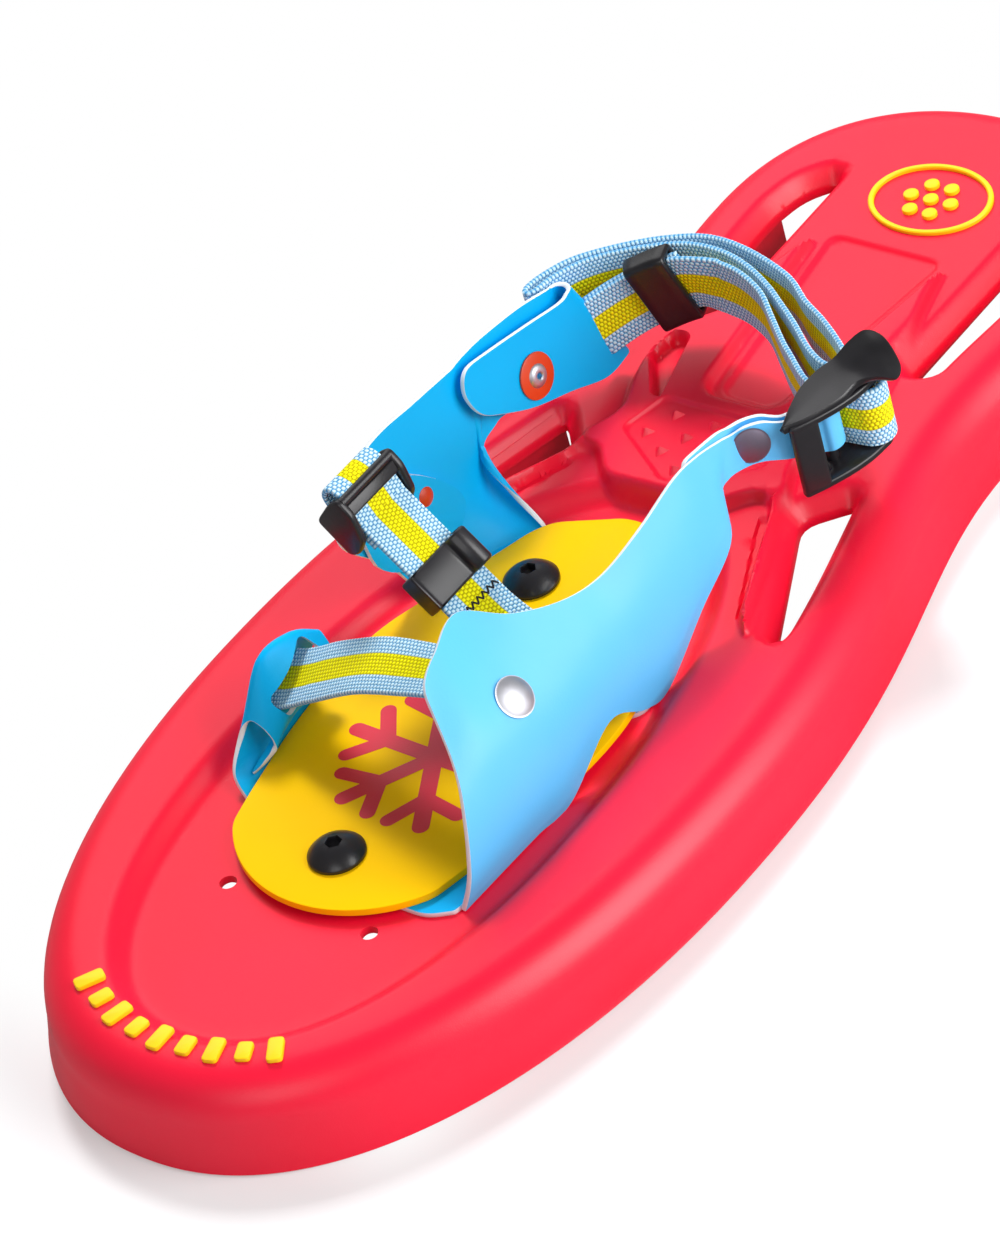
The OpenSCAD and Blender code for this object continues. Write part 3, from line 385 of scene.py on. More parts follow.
platform = rounded(both_halves(heel([
    [0, -24], [20, -25], [31, -12], [50, -58], [57, -64], [60.5, -61], [39, -7], [33, 4], [39, 17],
    [42, 31], [38, 49], [30, 75], [25, 95], [20, 93], [10.5, 22], [0, 22]])), 6)
mid_slot = side_slot([[64, -3]], np.arange(3, 58, 6.0), 20.5, [[40, 45]])
rear_slot = side_slot([[35, 108]], np.arange(110, 161, 7.0), 22, [[44, 171], [36, 181]])
slots = [mid_slot, rear_slot, mirrored(mid_slot), mirrored(rear_slot)]
pad = rounded(heel(np.array([[0, -19], [24.5, -3], [20.5, 14], [-20.5, 14], [-24.5, -3]]) * [51 / 49, 1]), 3)
panel = rounded(heel([[-9, 24], [9, 24], [19, 97], [-19, 97]]), 4)
kite = rounded(heel([[24, 13], [36, 29], [35, 38], [31, 38]]), 1.5)
groove = rounded(heel([[33, -19], [51, -56], [36, -18]])[::-1], 1.2)
drains = [circle(2.5, 28, (x, -139)) for x in (-24.5, 24.5)]

# %% [markdown]
# One function gives the deck's height anywhere. Signed distances to the outlines become
# slopes, and soft minima and maxima round the edges as a mould does.

# %% Deck height
def distance(points, outline):
    """Signed distance from points to a closed outline, negative inside."""
    best, inside = np.full(len(points), np.inf), np.zeros(len(points), bool)
    for a, b in zip(outline, np.roll(outline, -1, 0)):
        edge, rel = b - a, points - a
        t = np.clip(rel @ edge / max(edge @ edge, 1e-12), 0, 1)
        best = np.minimum(best, np.hypot(*(rel - t[:, None] * edge).T))
        crosses = (a[1] > points[:, 1]) != (b[1] > points[:, 1])
        inside ^= crosses & (points[:, 0] < a[0] + rel[:, 1] * edge[0] / (edge[1] or 1e-12))
    return np.where(inside, -best, best)

def soft_min(a, b, k):
    h = np.clip(0.5 + 0.5 * (b - a) / k, 0, 1)
    return b + (a - b) * h - k * h * (1 - h)

def soft_max(a, b, k):
    return -soft_min(-np.asarray(a, float), -np.asarray(b, float), k)

# Each dent has its floor, its height at the outline, its slope, and the roundness of its
# foot and of its lip. Kite and groove stand on both sides.
dents = [(pad, 29.8, 31.1, 1.3, 0.5, 0.4), (panel, 26.0, 26.0, 2.04, 1.4, 1.6)]
for on_side in (lambda o: o, mirrored):
    dents += [(on_side(kite), 26.5, 26.5, 3, 0.8, 0.8), (on_side(groove), 26.0, 26.0, 5, 0.8, 1.0)]

def deck_height(points):
    z = soft_max(BASIN_Z, soft_min(DECK_H, DECK_H + distance(points, basin), 2.4), 2.4)
    z = soft_max(z, soft_min(PLATFORM_Z, SLOPE_Z - PLATFORM_SLOPE * distance(points, platform), 2.6), 2.8)
    for slot in slots:
        z = soft_min(z, SLOPE_Z + SLOT_SLOPE * distance(points, slot), 2.6)
    for outline, floor_z, edge_z, slope, foot, lip in dents:
        z = soft_min(z, soft_max(floor_z, edge_z + slope * distance(points, outline), foot), lip)
    return z

# %% [markdown]
# Rows of points follow each outline where the height bends, so the folds of the surface
# run along mesh edges. Plain points fill the flat parts.

# %% Deck mesh points
def row(outline, offset, step):
    """Points along an outline, moved outwards by offset."""
    a, b = outline, np.roll(outline, -1, 0)
    out = []
    for p, q, length in zip(a, b, np.linalg.norm(b - a, axis=1)):
        if length < 1e-9:
            continue
        n = max(1, int(round(length / step)))
        d = (q - p) / length
        out.append(p + (q - p) * (np.arange(n) / n)[:, None] + offset * np.array([d[1], -d[0]]))
    out = np.concatenate(out)
    return out[np.abs(distance(out, outline) - offset) < 0.03]

rim_line = deck_edge - EDGE_R * outward(deck_edge)
slot_lines = [resample(s, int(np.linalg.norm(np.diff(s, axis=0), axis=1).sum() / 1.5)) for s in slots]
fold_rows = [(basin, 2.0, (-7.5, -6.3, -5.4, -4.6, -3.7, -2.5, -1.3, -0.4, 0.5, 1.5, 2.6)),
             (platform, 1.4, (1, 0.3, -0.1, -0.5, -1.0, -1.6, -2.1, -2.6, -3.1, -3.6, -4.3, -5.2)),
             *[(s, 1.7, (0.6, 1.4, 2.3, 3.3, 4.2, 5.0, 5.8, 6.6, 7.5, 8.6)) for s in slots],
             (pad, 1.4, (0.4, 0, -0.4, -0.8, -1.2, -1.8)), (panel, 1.5, (-1.4, -0.5, 0.2, 0.9, 1.7, 2.5, 3.3)),
             *[(o, 1.0, (-0.5, 0.1, 0.6, 1.2, 1.9)) for k in (kite, groove) for o in (k, mirrored(k))]]
borders = [rim_line, *slot_lines, *drains]

CELL, CELLS, MAP_CORNER = 0.5, (420, 960), (-105, -240)

def cells(points):
    """The place of each point in a map of small squares."""
    return tuple(np.clip(((points - MAP_CORNER) / CELL).astype(int), 0, np.array(CELLS) - 1).T)

def keep_apart(points, taken, reach):
    near = taken.copy()
    for _ in range(reach):
        for axis in (0, 1):
            near |= np.roll(near, 1, axis) | np.roll(near, -1, axis)
    return points[~near[cells(points)]]

taken = np.zeros(CELLS, bool)
fold_points = []
for outline, step, offsets in fold_rows:
    mine = np.zeros(CELLS, bool)
    for offset in offsets:
        found = row(outline, offset, step)
        found = found[~taken[cells(found)]]
        fold_points.append(found)
        mine[cells(found)] = True
    taken |= mine
hexes = np.array([[x + (j % 2) * 1.5, y] for j, y in enumerate(np.arange(-215, 228, 2.6))
                  for x in np.arange(-90, 90, 3.0)])
inner = np.concatenate([*fold_points, keep_apart(hexes, taken, 3)])
inner = inner[(distance(inner, rim_line) < -0.9) & np.all([distance(inner, b) > 0.45 for b in borders[1:]], axis=0)]
print("deck mesh points:", len(inner), "and on its borders", sum(map(len, borders)))

# %% [markdown]
# A constrained Delaunay triangulation joins the points. The underside is the same surface
# 2.5 mm lower, and rings round the rim make the rolled edge and the spread skirt.

# %% Deck shell
def deck_triangles():
    """The flat triangulation between the borders, as points and counter-clockwise triangles."""
    flat, edges = [], []
    for border in borders:
        start = len(flat)
        flat += [Vector(p) for p in border]
        edges += [(start + i, start + (i + 1) % len(border)) for i in range(len(border))]
    flat += [Vector(p) for p in inner]
    made, _, triangles, *_ = delaunay_2d_cdt(flat, edges, [], 0, 1e-5)
    made, triangles = np.array([tuple(v) for v in made]), np.array(triangles)
    centre = made[triangles].mean(1)
    inside = (distance(centre, rim_line) < 0) & np.all([distance(centre, b) > 0 for b in borders[1:]], axis=0)
    triangles = triangles[inside]
    a, b, c = (made[triangles[:, k]] for k in range(3))
    flipped = np.cross(b - a, c - a) < 0
    triangles[flipped] = triangles[flipped][:, ::-1]
    return made, triangles

def deck_shell():
    made, triangles = deck_triangles()
    top = np.column_stack([made, deck_height(made)])
    count, around = len(top), len(rim_line)
    faces = [list(t) for t in triangles] + [[c + count, b + count, a + count] for a, b, c in triangles]
    directed = {(int(t[k]), int(t[(k + 1) % 3])) for t in triangles for k in range(3)}
    faces += [[a, a + count, b + count, b] for a, b in directed
              if (b, a) not in directed and (a >= around or b >= around)]
    roll = lambda radius, start, stop, n: [tuple(p) for p in arc((EDGE_R, DECK_H - EDGE_R), radius,
                                                                 np.linspace(start, stop, n))]
    inside = WALL - FLARE
    profile = roll(EDGE_R, 90, 180, 14)[1:] + [(-FLARE * k, 14 - 14 * k) for k in (0.2, 0.4, 0.6, 0.8, 0.94)]
    profile += [(-FLARE, 0.5), (-FLARE + 0.25, 0.1), (-FLARE + 0.8, 0), (inside - 0.8, 0), (inside - 0.2, 0.15),
                (inside, 0.7), (WALL - FLARE * 0.4, 8)] + roll(EDGE_R - WALL, 180, 90, 7)[:-1]
    points = np.vstack([top, top - [0, 0, WALL], *at_levels(deck_edge, profile)])
    levels = [range(around), *[range(2 * count + k * around, 2 * count + (k + 1) * around)
                               for k in range(len(profile))], range(count, count + around)]
    return add_piece("deck_shell", (points, faces + sewn(levels)), [red], "deck_red", "deck")

print("deck shell faces:", len(deck_shell().data.polygons))

# %% [markdown]
# ## Binding sheets
# Each binding sheet is a grid of control points, refined to a smooth surface and thickened
# along its own normals. Its outline's corners are drawn round, and the rim round it gets the
# pale core colour.

# %% Sheet builder
SHEET_T, SIDE_X, LAY_Z = 1.5, 46.2, 22.75

def surface(rows, along, across):
    columns = catmull(np.swapaxes(np.array(rows, float), 0, 1), across)
    return catmull(np.swapaxes(columns, 0, 1), along)

def look_up(grid, u, v):
    """Points of a grid at fractional places along both ways."""
    i = np.clip(u.astype(int), 0, grid.shape[0] - 2)
    j = np.clip(v.astype(int), 0, grid.shape[1] - 2)
    s, t = (u - i)[..., None], (v - j)[..., None]
    return (grid[i, j] * (1 - s) * (1 - t) + grid[i + 1, j] * s * (1 - t)
            + grid[i, j + 1] * (1 - s) * t + grid[i + 1, j + 1] * s * t)

def round_corners(grid, radii):
    """Draws the four corners in, in the order start/low, start/high, end/low, end/high."""
    nu, nv = grid.shape[:2]
    u, v = np.meshgrid(np.arange(nu, dtype=float), np.arange(nv, dtype=float), indexing="ij")
    for radius, (end_u, end_v) in zip(radii, ((0, 0), (0, 1), (1, 0), (1, 1))):
        if not radius:
            continue
        ci, cj, si, sj = end_u * (nu - 1), end_v * (nv - 1), 1 - 2 * end_u, 1 - 2 * end_v
        step_u = np.linalg.norm(grid[ci + si * 3, cj] - grid[ci, cj]) / 3
        step_v = np.linalg.norm(grid[ci, cj + sj * 3] - grid[ci, cj]) / 3
        x, y = 1 - np.abs(u - ci) * step_u / radius, 1 - np.abs(v - cj) * step_v / radius
        near = (x > 0) & (y > 0)
        x1, y1 = x * np.sqrt(1 - np.clip(y, 0, 1)**2 / 2), y * np.sqrt(1 - np.clip(x, 0, 1)**2 / 2)
        u[near] = (ci + si * (1 - x1) * radius / step_u)[near]
        v[near] = (cj + sj * (1 - y1) * radius / step_v)[near]
    return look_up(grid, np.clip(u, 0, nu - 1), np.clip(v, 0, nv - 1))

def grid_normals(grid):
    n = np.cross(np.gradient(grid, axis=0), np.gradient(grid, axis=1))
    return n / np.maximum(np.linalg.norm(n, axis=2), 1e-9)[..., None]

def thicken(grid, thickness=SHEET_T):
    """A part with two faces and a rounded rim, and 1 for each face of the rim."""
    nu, nv = grid.shape[:2]
    at = lambda i, j: i * nv + j
    loop = ([at(i, 0) for i in range(nu - 1)] + [at(nu - 1, j) for j in range(nv - 1)]
            + [at(i, nv - 1) for i in range(nu - 1, 0, -1)] + [at(0, j) for j in range(nv - 1, 0, -1)])
    flat, n = grid.reshape(-1, 3), grid_normals(grid).reshape(-1, 3)
    edge, edge_n = flat[loop], n[loop]
    out = np.cross(np.roll(edge, -1, 0) - np.roll(edge, 1, 0), edge_n)
    out /= np.maximum(np.linalg.norm(out, axis=1), 1e-9)[:, None]
    size, half, around = nu * nv, thickness / 2, len(loop)
    rims = [edge + out * half * 0.28 * k + edge_n * half * h for k, h in ((0.8, 0.62), (1, 0), (0.8, -0.62))]
    faces = [[at(i, j), at(i + 1, j), at(i + 1, j + 1), at(i, j + 1)] for i in range(nu - 1) for j in range(nv - 1)]
    faces += [[size + k for k in reversed(f)] for f in faces]
    rim = sewn([loop, *[range(2 * size + r * around, 2 * size + (r + 1) * around) for r in range(3)],
                [size + k for k in loop]])
    points = np.vstack([flat + n * half, flat - n * half, *rims])
    return (points, faces + rim), [0] * len(faces) + [1] * len(rim)

def sheet(name, grid, radii, face=blue):
    part, rim = thicken(round_corners(grid, radii))
    print(name, "faces:", len(rim))
    return make(name, part, [face, core_white], rim, 50)

def near_side(points):
    return [[SIDE_X + x, y, z] for x, y, z in points]

def far_side(points):
    return [[x - SIDE_X, y, z] for x, y, z in points]

# %% [markdown]
# The near wing leans in over the foot, is cut out in an arch at its root and narrows to an
# arm, which is folded round the heel buckle's bar and riveted back on itself. Rows run from
# the front edge backwards, and every row from the lower edge to the upper one. Five of them
# start from a foot that lies on the deck.

# %% Near wing
near_front_foot = [(44, -122), (44.6, -105), (45.2, -90), (46.2, -76)]
near_rear_foot = [(46.4, -40), (45.2, -28)]
BAR_A, FOLD_R = np.array([52.5, 50.5]), 4.1

near_rows = [near_side(row) for row in [
    [(0.4, -119, 33), (-1.4, -113, 48), (-7, -106, 60), (-21.2, -96, 74)],
    [(0.9, -104, 34), (-0.6, -101, 49), (-6.6, -96, 62), (-23.7, -86, 76)],
    [(1.1, -89, 34), (-0.4, -87, 49), (-6.6, -83, 61), (-27, -71.5, 77.2)],
    [(1.2, -75, 34), (-0.6, -73, 49), (-6, -69, 59.5), (-17.8, -61, 71.4)],
    [(0.7, -55, 34), (0.5, -54, 42), (-0.8, -52, 50), (-4.7, -50, 58.5), (-11.7, -47.5, 66.8)],
    [(0.2, -40, 25.5), (0.8, -38, 36), (-0.4, -37, 46.5), (-3.2, -35.5, 55.5), (-9.2, -33, 64.7)],
    [(0.8, -26, 33), (-0.2, -23.5, 45), (-2.7, -20.5, 56), (-7.7, -16.2, 67.7)],
    [(0.2, -9, 36), (0.4, -7, 43), (-0.8, -4, 51.5), (-3.6, -1, 61), (-8.2, 2, 70.8)],
    [(-0.4, 9, 45), (-1.5, 10, 51), (-3.5, 11, 57.5), (-6, 12.2, 63.5), (-8.7, 13.3, 69.6)]]]
for k, foot in zip((0, 1, 2, 3, 6), (*near_front_foot, near_rear_foot[1])):
    near_rows[k].insert(0, [*foot, LAY_Z])
arm = [((-5.2, 15.3, 55.5), (-8.2, 23.3, 67.5)), ((-6.4, 20.9, 56.6), (-7, 27.5, 66.9)),
       ((-4.9, 26.9, 56.4), (-4.4, 30.5, 68.1)), ((-1.2, 31.4, 56.4), (-1.2, 34.1, 68)),
       ((3.8, 37, 54.4), (1.8, 38.4, 65.5))]
arm += [((x - SIDE_X, y, 50.4), (x - SIDE_X, y, 63.2)) for x, y in arc(BAR_A, FOLD_R, np.arange(-75, 151, 45))]
arm += [((2, 40.5, 51.5), (0.4, 41.5, 65)), ((-4.1, 34.3, 54.5), (-4.1, 37, 67.2)),
        ((-7.7, 29.6, 55.2), (-7.2, 33.2, 67.6)), ((-8.2, 21.5, 57), (-8.8, 28.5, 68)),
        ((-7.4, 15, 57.5), (-10.2, 23.5, 68.6)), ((-7, 6, 58), (-10.4, 8.5, 70.4))]
near_rows += [near_side(np.linspace(low, high, 5)) for low, high in arm]
near_grid = surface(near_rows, 10, 10)
# The near wing wears the paler blue, a painted sheen standing in for the light on its face.
claim(sheet("near_wing_sheet", near_grid, (0, 5, 4, 4), blue_painted_sheen), "near_wing")

# %% [markdown]
# The far wing leans outwards, and its rear end is folded forward round the heel strap.

# %% Far wing
FAR_LEAN, FAR_FOLD, FAR_FOLD_R = 0.2, (-46.0, 71.0), 3.2
far_foot = [(3.8 - SIDE_X, -24), (5 - SIDE_X, -13), (9.4 - SIDE_X, 0), (15.7 - SIDE_X, 12.5)]

far_rows = [far_side(row) for row in [
    [(0.6, -31, 40), (-2, -43, 56), (-4.4, -38, 70)],
    [(0.8, -16, 38), (-2.2, -17, 56), (-5.4, -17, 73)],
    [(1, 0, 38), (-2, 1, 55), (-5.1, 1, 72)],
    [(0.6, 14.3, 34), (-1.6, 17, 52), (-4.8, 17, 71)],
    [(0.9, 15.5, 40.5), (0.5, 16.5, 43), (-0.6, 18, 48.5), (-2.6, 19.6, 58), (-5, 20.5, 71)]]]
for k, up in enumerate((0, 0, 0.4, 0.8)):
    x, y = far_foot[k]
    far_rows[k][:0] = [[x + 6, y - 0.4, LAY_Z - 0.12], [x + 1.2, y, LAY_Z + 0.2 + up]]
for x, y, z0, z1 in ((4.2, 25, 46.8, 70.8), (4.2, 34, 45.5, 70.5), (4.2, 50, 41, 68.5), (3.8, 62, 34, 65.5)):
    far_rows.append(far_side([(x - FAR_LEAN * (z - LAY_Z), y, z) for z in np.linspace(z0, z1, 5)]))
for x, y in arc(FAR_FOLD, FAR_FOLD_R, np.arange(180, -1, -45)):
    far_rows.append([[x - FAR_LEAN * (z - 48), y - 0.35 * (z - 48), z] for z in np.linspace(34, 63.5, 5)])
for low, high in (((66, 34), (61, 63.2)), ((52, 39.5), (47, 66)), ((37, 45), (31, 69)), ((25, 51.5), (21, 70.5)),
                  ((16.5, 57), (15.5, 69.5))):
    far_rows.append([[-43.4 - FAR_LEAN * (z - 51.4), y, z] for y, z in np.linspace(low, high, 5)])
claim(sheet("far_wing_sheet", surface(far_rows, 10, 10), (0, 8, 5, 5)), "far_wing")

# %% [markdown]
# The toe lug is a tongue folded in over itself as an open hem, and the toe strap comes out
# of a window in it. A solid block cuts the window, and its own pale material colours the cut.

# %% Toe lug
lug_foot = [(7.4 - SIDE_X, -111.5), (5.7 - SIDE_X, -99), (2.8 - SIDE_X, -86), (0.4 - SIDE_X, -73)]
WINDOW_AT, WINDOW_TILT, WINDOW_SIZE = (5.6 - SIDE_X, -81 + BIND_Y, 43.2), 22, (9, 21.5, 8)
lug_rows = [[[*foot, LAY_Z], *far_side(row)] for foot, row in zip(lug_foot, [
    [(1.2, -108, 27.5), (-0.3, -100.5, 34), (1.4, -97, 38), (5.2, -96.3, 36), (8.2, -96.8, 31), (6.7, -100.5, 27.6),
     (4.6, -105.5, 25.6)],
    [(0.4, -96.5, 29), (-0.8, -90, 41), (0.7, -86.5, 51), (4.7, -87, 46), (8.5, -88, 38.8), (7.7, -90.5, 33.4),
     (5.8, -94.5, 30)],
    [(0, -83.5, 30), (-0.9, -78.5, 42), (1.4, -74, 50.3), (5.4, -76, 47.5), (9, -78.5, 42.8), (8.4, -80.5, 37.2),
     (6.4, -84, 33)],
    [(-0.4, -70.5, 30), (-0.4, -67, 38), (2.8, -65.5, 44.5), (5.8, -66, 43.6), (8.7, -67.5, 40), (8.2, -69.5, 35.6),
     (6.6, -72, 32)]])]

def window_block():
    """A box with its four edges along X rounded, at the window's place."""
    bm = bmesh.new()
    bmesh.ops.create_cube(bm, size=1.0)
    bmesh.ops.scale(bm, vec=WINDOW_SIZE, verts=bm.verts)
    edges = [e for e in bm.edges if abs(e.verts[0].co.x - e.verts[1].co.x) > 1e-6]
    bmesh.ops.bevel(bm, geom=edges, offset=2.6, segments=5, affect="EDGES", profile=0.5)
    mesh = bpy.data.meshes.new("block")
    bm.to_mesh(mesh)
    bm.free()
    mesh.materials.append(core_white)
    mesh.transform(Matrix.Scale(MM, 4) @ (shift(*WINDOW_AT) @ turned(WINDOW_TILT, "X") @ shift(1, 0, -0.5)))
    return new_object("block", mesh)

lug = sheet("toe_lug_sheet", surface(lug_rows, 16, 8), (0, 2.5, 0, 2.5))
window = lug.modifiers.new("cut", "BOOLEAN")
window.object, window.operation, window.solver = window_block(), "DIFFERENCE", "EXACT"
window.material_mode = "TRANSFER"
claim(bake(lug, window.object), "toe_lug")

# %% [markdown]
# The base lies flat between the foot plate and the deck, and only a little of it shows.

# %% Harness base
def beside(foot, gap):
    return [(x - copysign(SHEET_T / 2 + gap, x), y) for x, y in foot]

base_outline = rounded([
    (0, -128.5), (36, -128.5), (42.6, -124), *beside(near_front_foot, 0.15), (33.2, -66), (32.2, -50),
    *beside(near_rear_foot, 0.15), (33.2, -14), (31.2, 4), (20, 12), (-20, 13.5),
    *[(x + 1.4, y) for x, y in far_foot[::-1]], (-32.2, -34), (-32.2, -66),
    *[(x + 1.4, y) for x, y in lug_foot[::-1]], (-34, -118), (-30, -124)], 4)
add_piece("base_sheet", prism(base_outline, [(0.2, 23.5), (0, 23.2), (0, 22.3), (0.2, 22)], down=True),
          [blue, core_white], "harness_blue", "harness_base", kinds=[1] * 3 * len(base_outline) + [0, 0])

# %% [markdown]
# The small tab behind the instep buckle is a piece of the far wing's own surface, moved in by
# a little more than one sheet. Its outline is laid on the wing by height and length.

# %% Instep tab
TAB_GAP = 1.75

def instep_tab():
    wing = surface(far_rows[:6], 14, 14).reshape(-1, 3)
    outline = catmull([(-36, 62), (-17, 60.5), (-4, 50), (2, 40), (-1, 35), (-8, 32.5), (-24, 34), (-36, 44),
                       (-36, 62)], 5)[:-1]
    centre, fan, n = outline.mean(0), np.linspace(0, 1, 9)[1:], len(outline)
    flat = np.concatenate([[centre], *[centre + (outline - centre) * f for f in fan]])
    x = np.array([wing[np.argmin(np.hypot(wing[:, 1] - y, wing[:, 2] - z))][0] for y, z in flat])
    x = np.array([np.mean(x[np.hypot(*(flat - p).T) < 4]) for p in flat])
    front = np.column_stack([x + TAB_GAP + SHEET_T / 2, flat])
    rings = [range(1 + k * n, 1 + (k + 1) * n) for k in range(len(fan))]
    faces = [[0, 1 + i, 1 + (i + 1) % n] for i in range(n)] + sewn(rings)
    faces = [f[::-1] for f in faces] + [[len(front) + i for i in f] for f in faces]
    rim = sewn([rings[-1], [len(front) + i for i in rings[-1]]])
    rim = [[f[0], f[3], f[2], f[1]] for f in rim]
    return (np.vstack([front, front - [SHEET_T, 0, 0]]), faces + rim), [0] * len(faces) + [1] * len(rim)

tab, tab_rim = instep_tab()
add_piece("instep_tab_sheet", tab, [blue, core_white], "harness_blue", "instep_tab", kinds=tab_rim)

# %% [markdown]
# ## Webbing
# Webbing is modelled directly as a flat band with round selvedges. Each strap carries a UV
# map in metres, along and across, and the weave, the stripe and the thread colours read it.
# The tops of the weave's loops are painted lighter and the hollows darker: painted highlight
# and shade.

# %% Webbing material
def webbing():
    t = Tree("webbing")
    along, across, _ = t.split(t.add("UVMap", dict(uv_map="strap")))
    pitch, column, stripe_half = 0.00128, 0.00122, 0.00375
    columns = across / column + 100.0
    odd = (columns.math("FLOOR") * 0.5).math("FRACT")
    loops = (along / pitch + 500.0 + odd).math("FRACT")
    rise = (loops * pi).math("SINE") * ((columns.math("FRACT") * pi).math("SINE") * 0.75 + 0.25)
    side = (across.math("ABSOLUTE") - stripe_half).step(-0.0001, 0.0001)
    fuzz = t.noise(900.0, 3.0)
    # Painted highlight and shade: loop tops take the lit colour and the hollows between loops the darker one, yellow or
    # blue by the stripe.
    lit = t.mix(side, rgb(255, 248, 16), rgb(210, 240, 254))
    loop_painted_shade = t.mix(side, rgb(188, 172, 0), rgb(64, 146, 200))
    return t.surface(Base_Color=t.mix((rise + 0.3 * fuzz).step(0.15, 0.95), loop_painted_shade, lit),
                     Roughness=0.62 + 0.2 * fuzz, Specular_IOR_Level=0.15,
                     Normal=t.bump(rise + 0.15 * fuzz, 0.00035))

web = webbing()

# %% Strap builder
WEB_W, WEB_T, SELVEDGE = 19.5, 1.6, 0.62

def strap_section():
    half, r = WEB_W / 2 - SELVEDGE, WEB_T / 2
    side = [(half + SELVEDGE * cos(a), r * sin(a)) for a in np.radians((60, 20, -20, -60))]
    face = [(v, r) for v in np.linspace(-half, half, 7)]
    return face + side + [(-v, -h) for v, h in face] + [(-v, -h) for v, h in side]

def strap(name, stands_for, rows, steps=4):
    """A band along rows of its two edges, in millimetres."""
    rows = catmull(np.array(rows, float), steps)
    middle, across = rows.mean(1), rows[:, 1] - rows[:, 0]
    across /= np.linalg.norm(across, axis=1)[:, None]
    normal = np.cross(np.gradient(middle, axis=0), across)
    normal /= np.linalg.norm(normal, axis=1)[:, None]
    run, section = run_along(middle), strap_section()
    points = np.concatenate([[p + v * a + h * k for v, h in section] for p, a, k in zip(middle, across, normal)])
    piece = add_piece(name, (points, bands(len(section), len(middle), down=True)), [web], "webbing", stands_for,
                      smooth_angle=60)
    corners = np.empty(len(piece.data.loops), dtype=np.int32)
    piece.data.loops.foreach_get("vertex_index", corners)
    lengths, widths = run[corners // len(section)], np.array(section)[corners % len(section), 0]
    layer = piece.data.uv_layers.new(name="strap")
    layer.data.foreach_set("uv", (np.column_stack([lengths, widths]) * MM).ravel())
    print(name, "is", round(run[-1]), "mm long")

# %% [markdown]
# The toe strap leaves the lug's hem at the window's slope, levels out over the toes and ends
# inside the near wing. The instep strap runs in one plane across the shoe, from a small loop
# above its buckle down through the slider.

# %% Toe and instep straps
TOE_STRAP_Y, INSTEP_Y = -81, -44

def toe_row(x, z):
    tilt = radians(WINDOW_TILT) * min(1.0, max(0.0, (20 - x) / 45))
    middle, half = np.array([x, TOE_STRAP_Y, z]), WEB_W / 2 * np.array([0, cos(tilt), sin(tilt)])
    return [middle - half, middle + half]

toe_path = catmull([(-44.4, 40), (-40, 41.5), (-34, 44.5), (-26, 49), (-8, 57.5), (10, 62), (22, 64.2),
                    (30.6, 64.2), (37.1, 59.6), (40.6, 54.2)], 3)
strap("toe_web", "toe_strap", [toe_row(x, z) for x, z in toe_path])

slider_at = np.array([-9, 60.4])
slope = np.array([28, -28.5]) / hypot(28, 28.5)
over = np.array([-slope[1], slope[0]])

def on_strap(s, n):
    """X and Z at s along the instep strap from its slider and n above it."""
    return slider_at + slope * s + over * n

buckle_loop = [on_strap(s, n) for s, n in ((-18, -2.2), (-26, -2.4), (-32, -4), (-37.5, -2.5), (-38.5, 1.2),
                                           (-34, 3.2), (-28, 1.2), (-24, 0))]
instep_path = np.concatenate([
    catmull(buckle_loop, 3), [on_strap(s, 0) for s in (-12, 0, 15)],
    catmull([on_strap(20, 0.6), (13, 42.5), (23, 40.5), (33.2, 42.5), (39.6, 46.5), (41.5, 51.4), (39.6, 55.5)], 3)])
strap("instep_web", "instep_strap",
      [[(x, INSTEP_Y - WEB_W / 2, z), (x, INSTEP_Y + WEB_W / 2, z)] for x, z in instep_path])

# %% [markdown]
# The heel strap is one length of webbing. Its sewn end lies in the far wing's fold, it runs
# round the heel and the buckle's outer bar and back outside itself, through the keeper, and
# is folded once more to its hemmed end. Near the far wing it lies in a tipped plane.

# %% Heel strap
LAYER, HEEL_R, HEEL_Z, KEEPER_AT, TIP, HEEL_A1 = 2.1, 42.0, 55.0, 117.0, 20, 145.0
BUCKLE_TURN, BAR_GAP, BAR_LOOP_R = 61.5, 14.2, 5.2
heel_c = np.array([-8.0, 48.0])
bar_b = arc(BAR_A, BAR_GAP, [BUCKLE_TURN])[0]
split_at = np.array([10.6, 87.8])
keeper_a, tip = radians(KEEPER_AT), radians(TIP)
tip_out = np.array([cos(keeper_a), sin(keeper_a), 0])
tip_along = np.array([-sin(keeper_a) * cos(tip), cos(keeper_a) * cos(tip), -sin(tip)])
tip_up = np.array([-sin(keeper_a) * sin(tip), cos(keeper_a) * sin(tip), cos(tip)])

def tip_ray(angle):
    a = radians(angle - KEEPER_AT)
    return cos(a) * tip_out + sin(a) * tip_along

def tip_row(angle, radius, moved=0):
    middle = np.array([*heel_c, HEEL_Z]) + radius * tip_ray(angle) + moved
    return [middle - tip_up * WEB_W / 2, middle + tip_up * WEB_W / 2]

def turn_row(degrees):
    """A row of the small turn at the strap's end, where it doubles back on itself."""
    end, b = HEEL_A1 + 3, radians(degrees)
    moved = LAYER / 2 * (cos(b) * tip_ray(end) + sin(b) * tip_ray(end + 90))
    return tip_row(end, HEEL_R + LAYER / 2, moved)

def upright(points):
    return [[(x, y, z - WEB_W / 2), (x, y, z + WEB_W / 2)] for x, y, z in points]

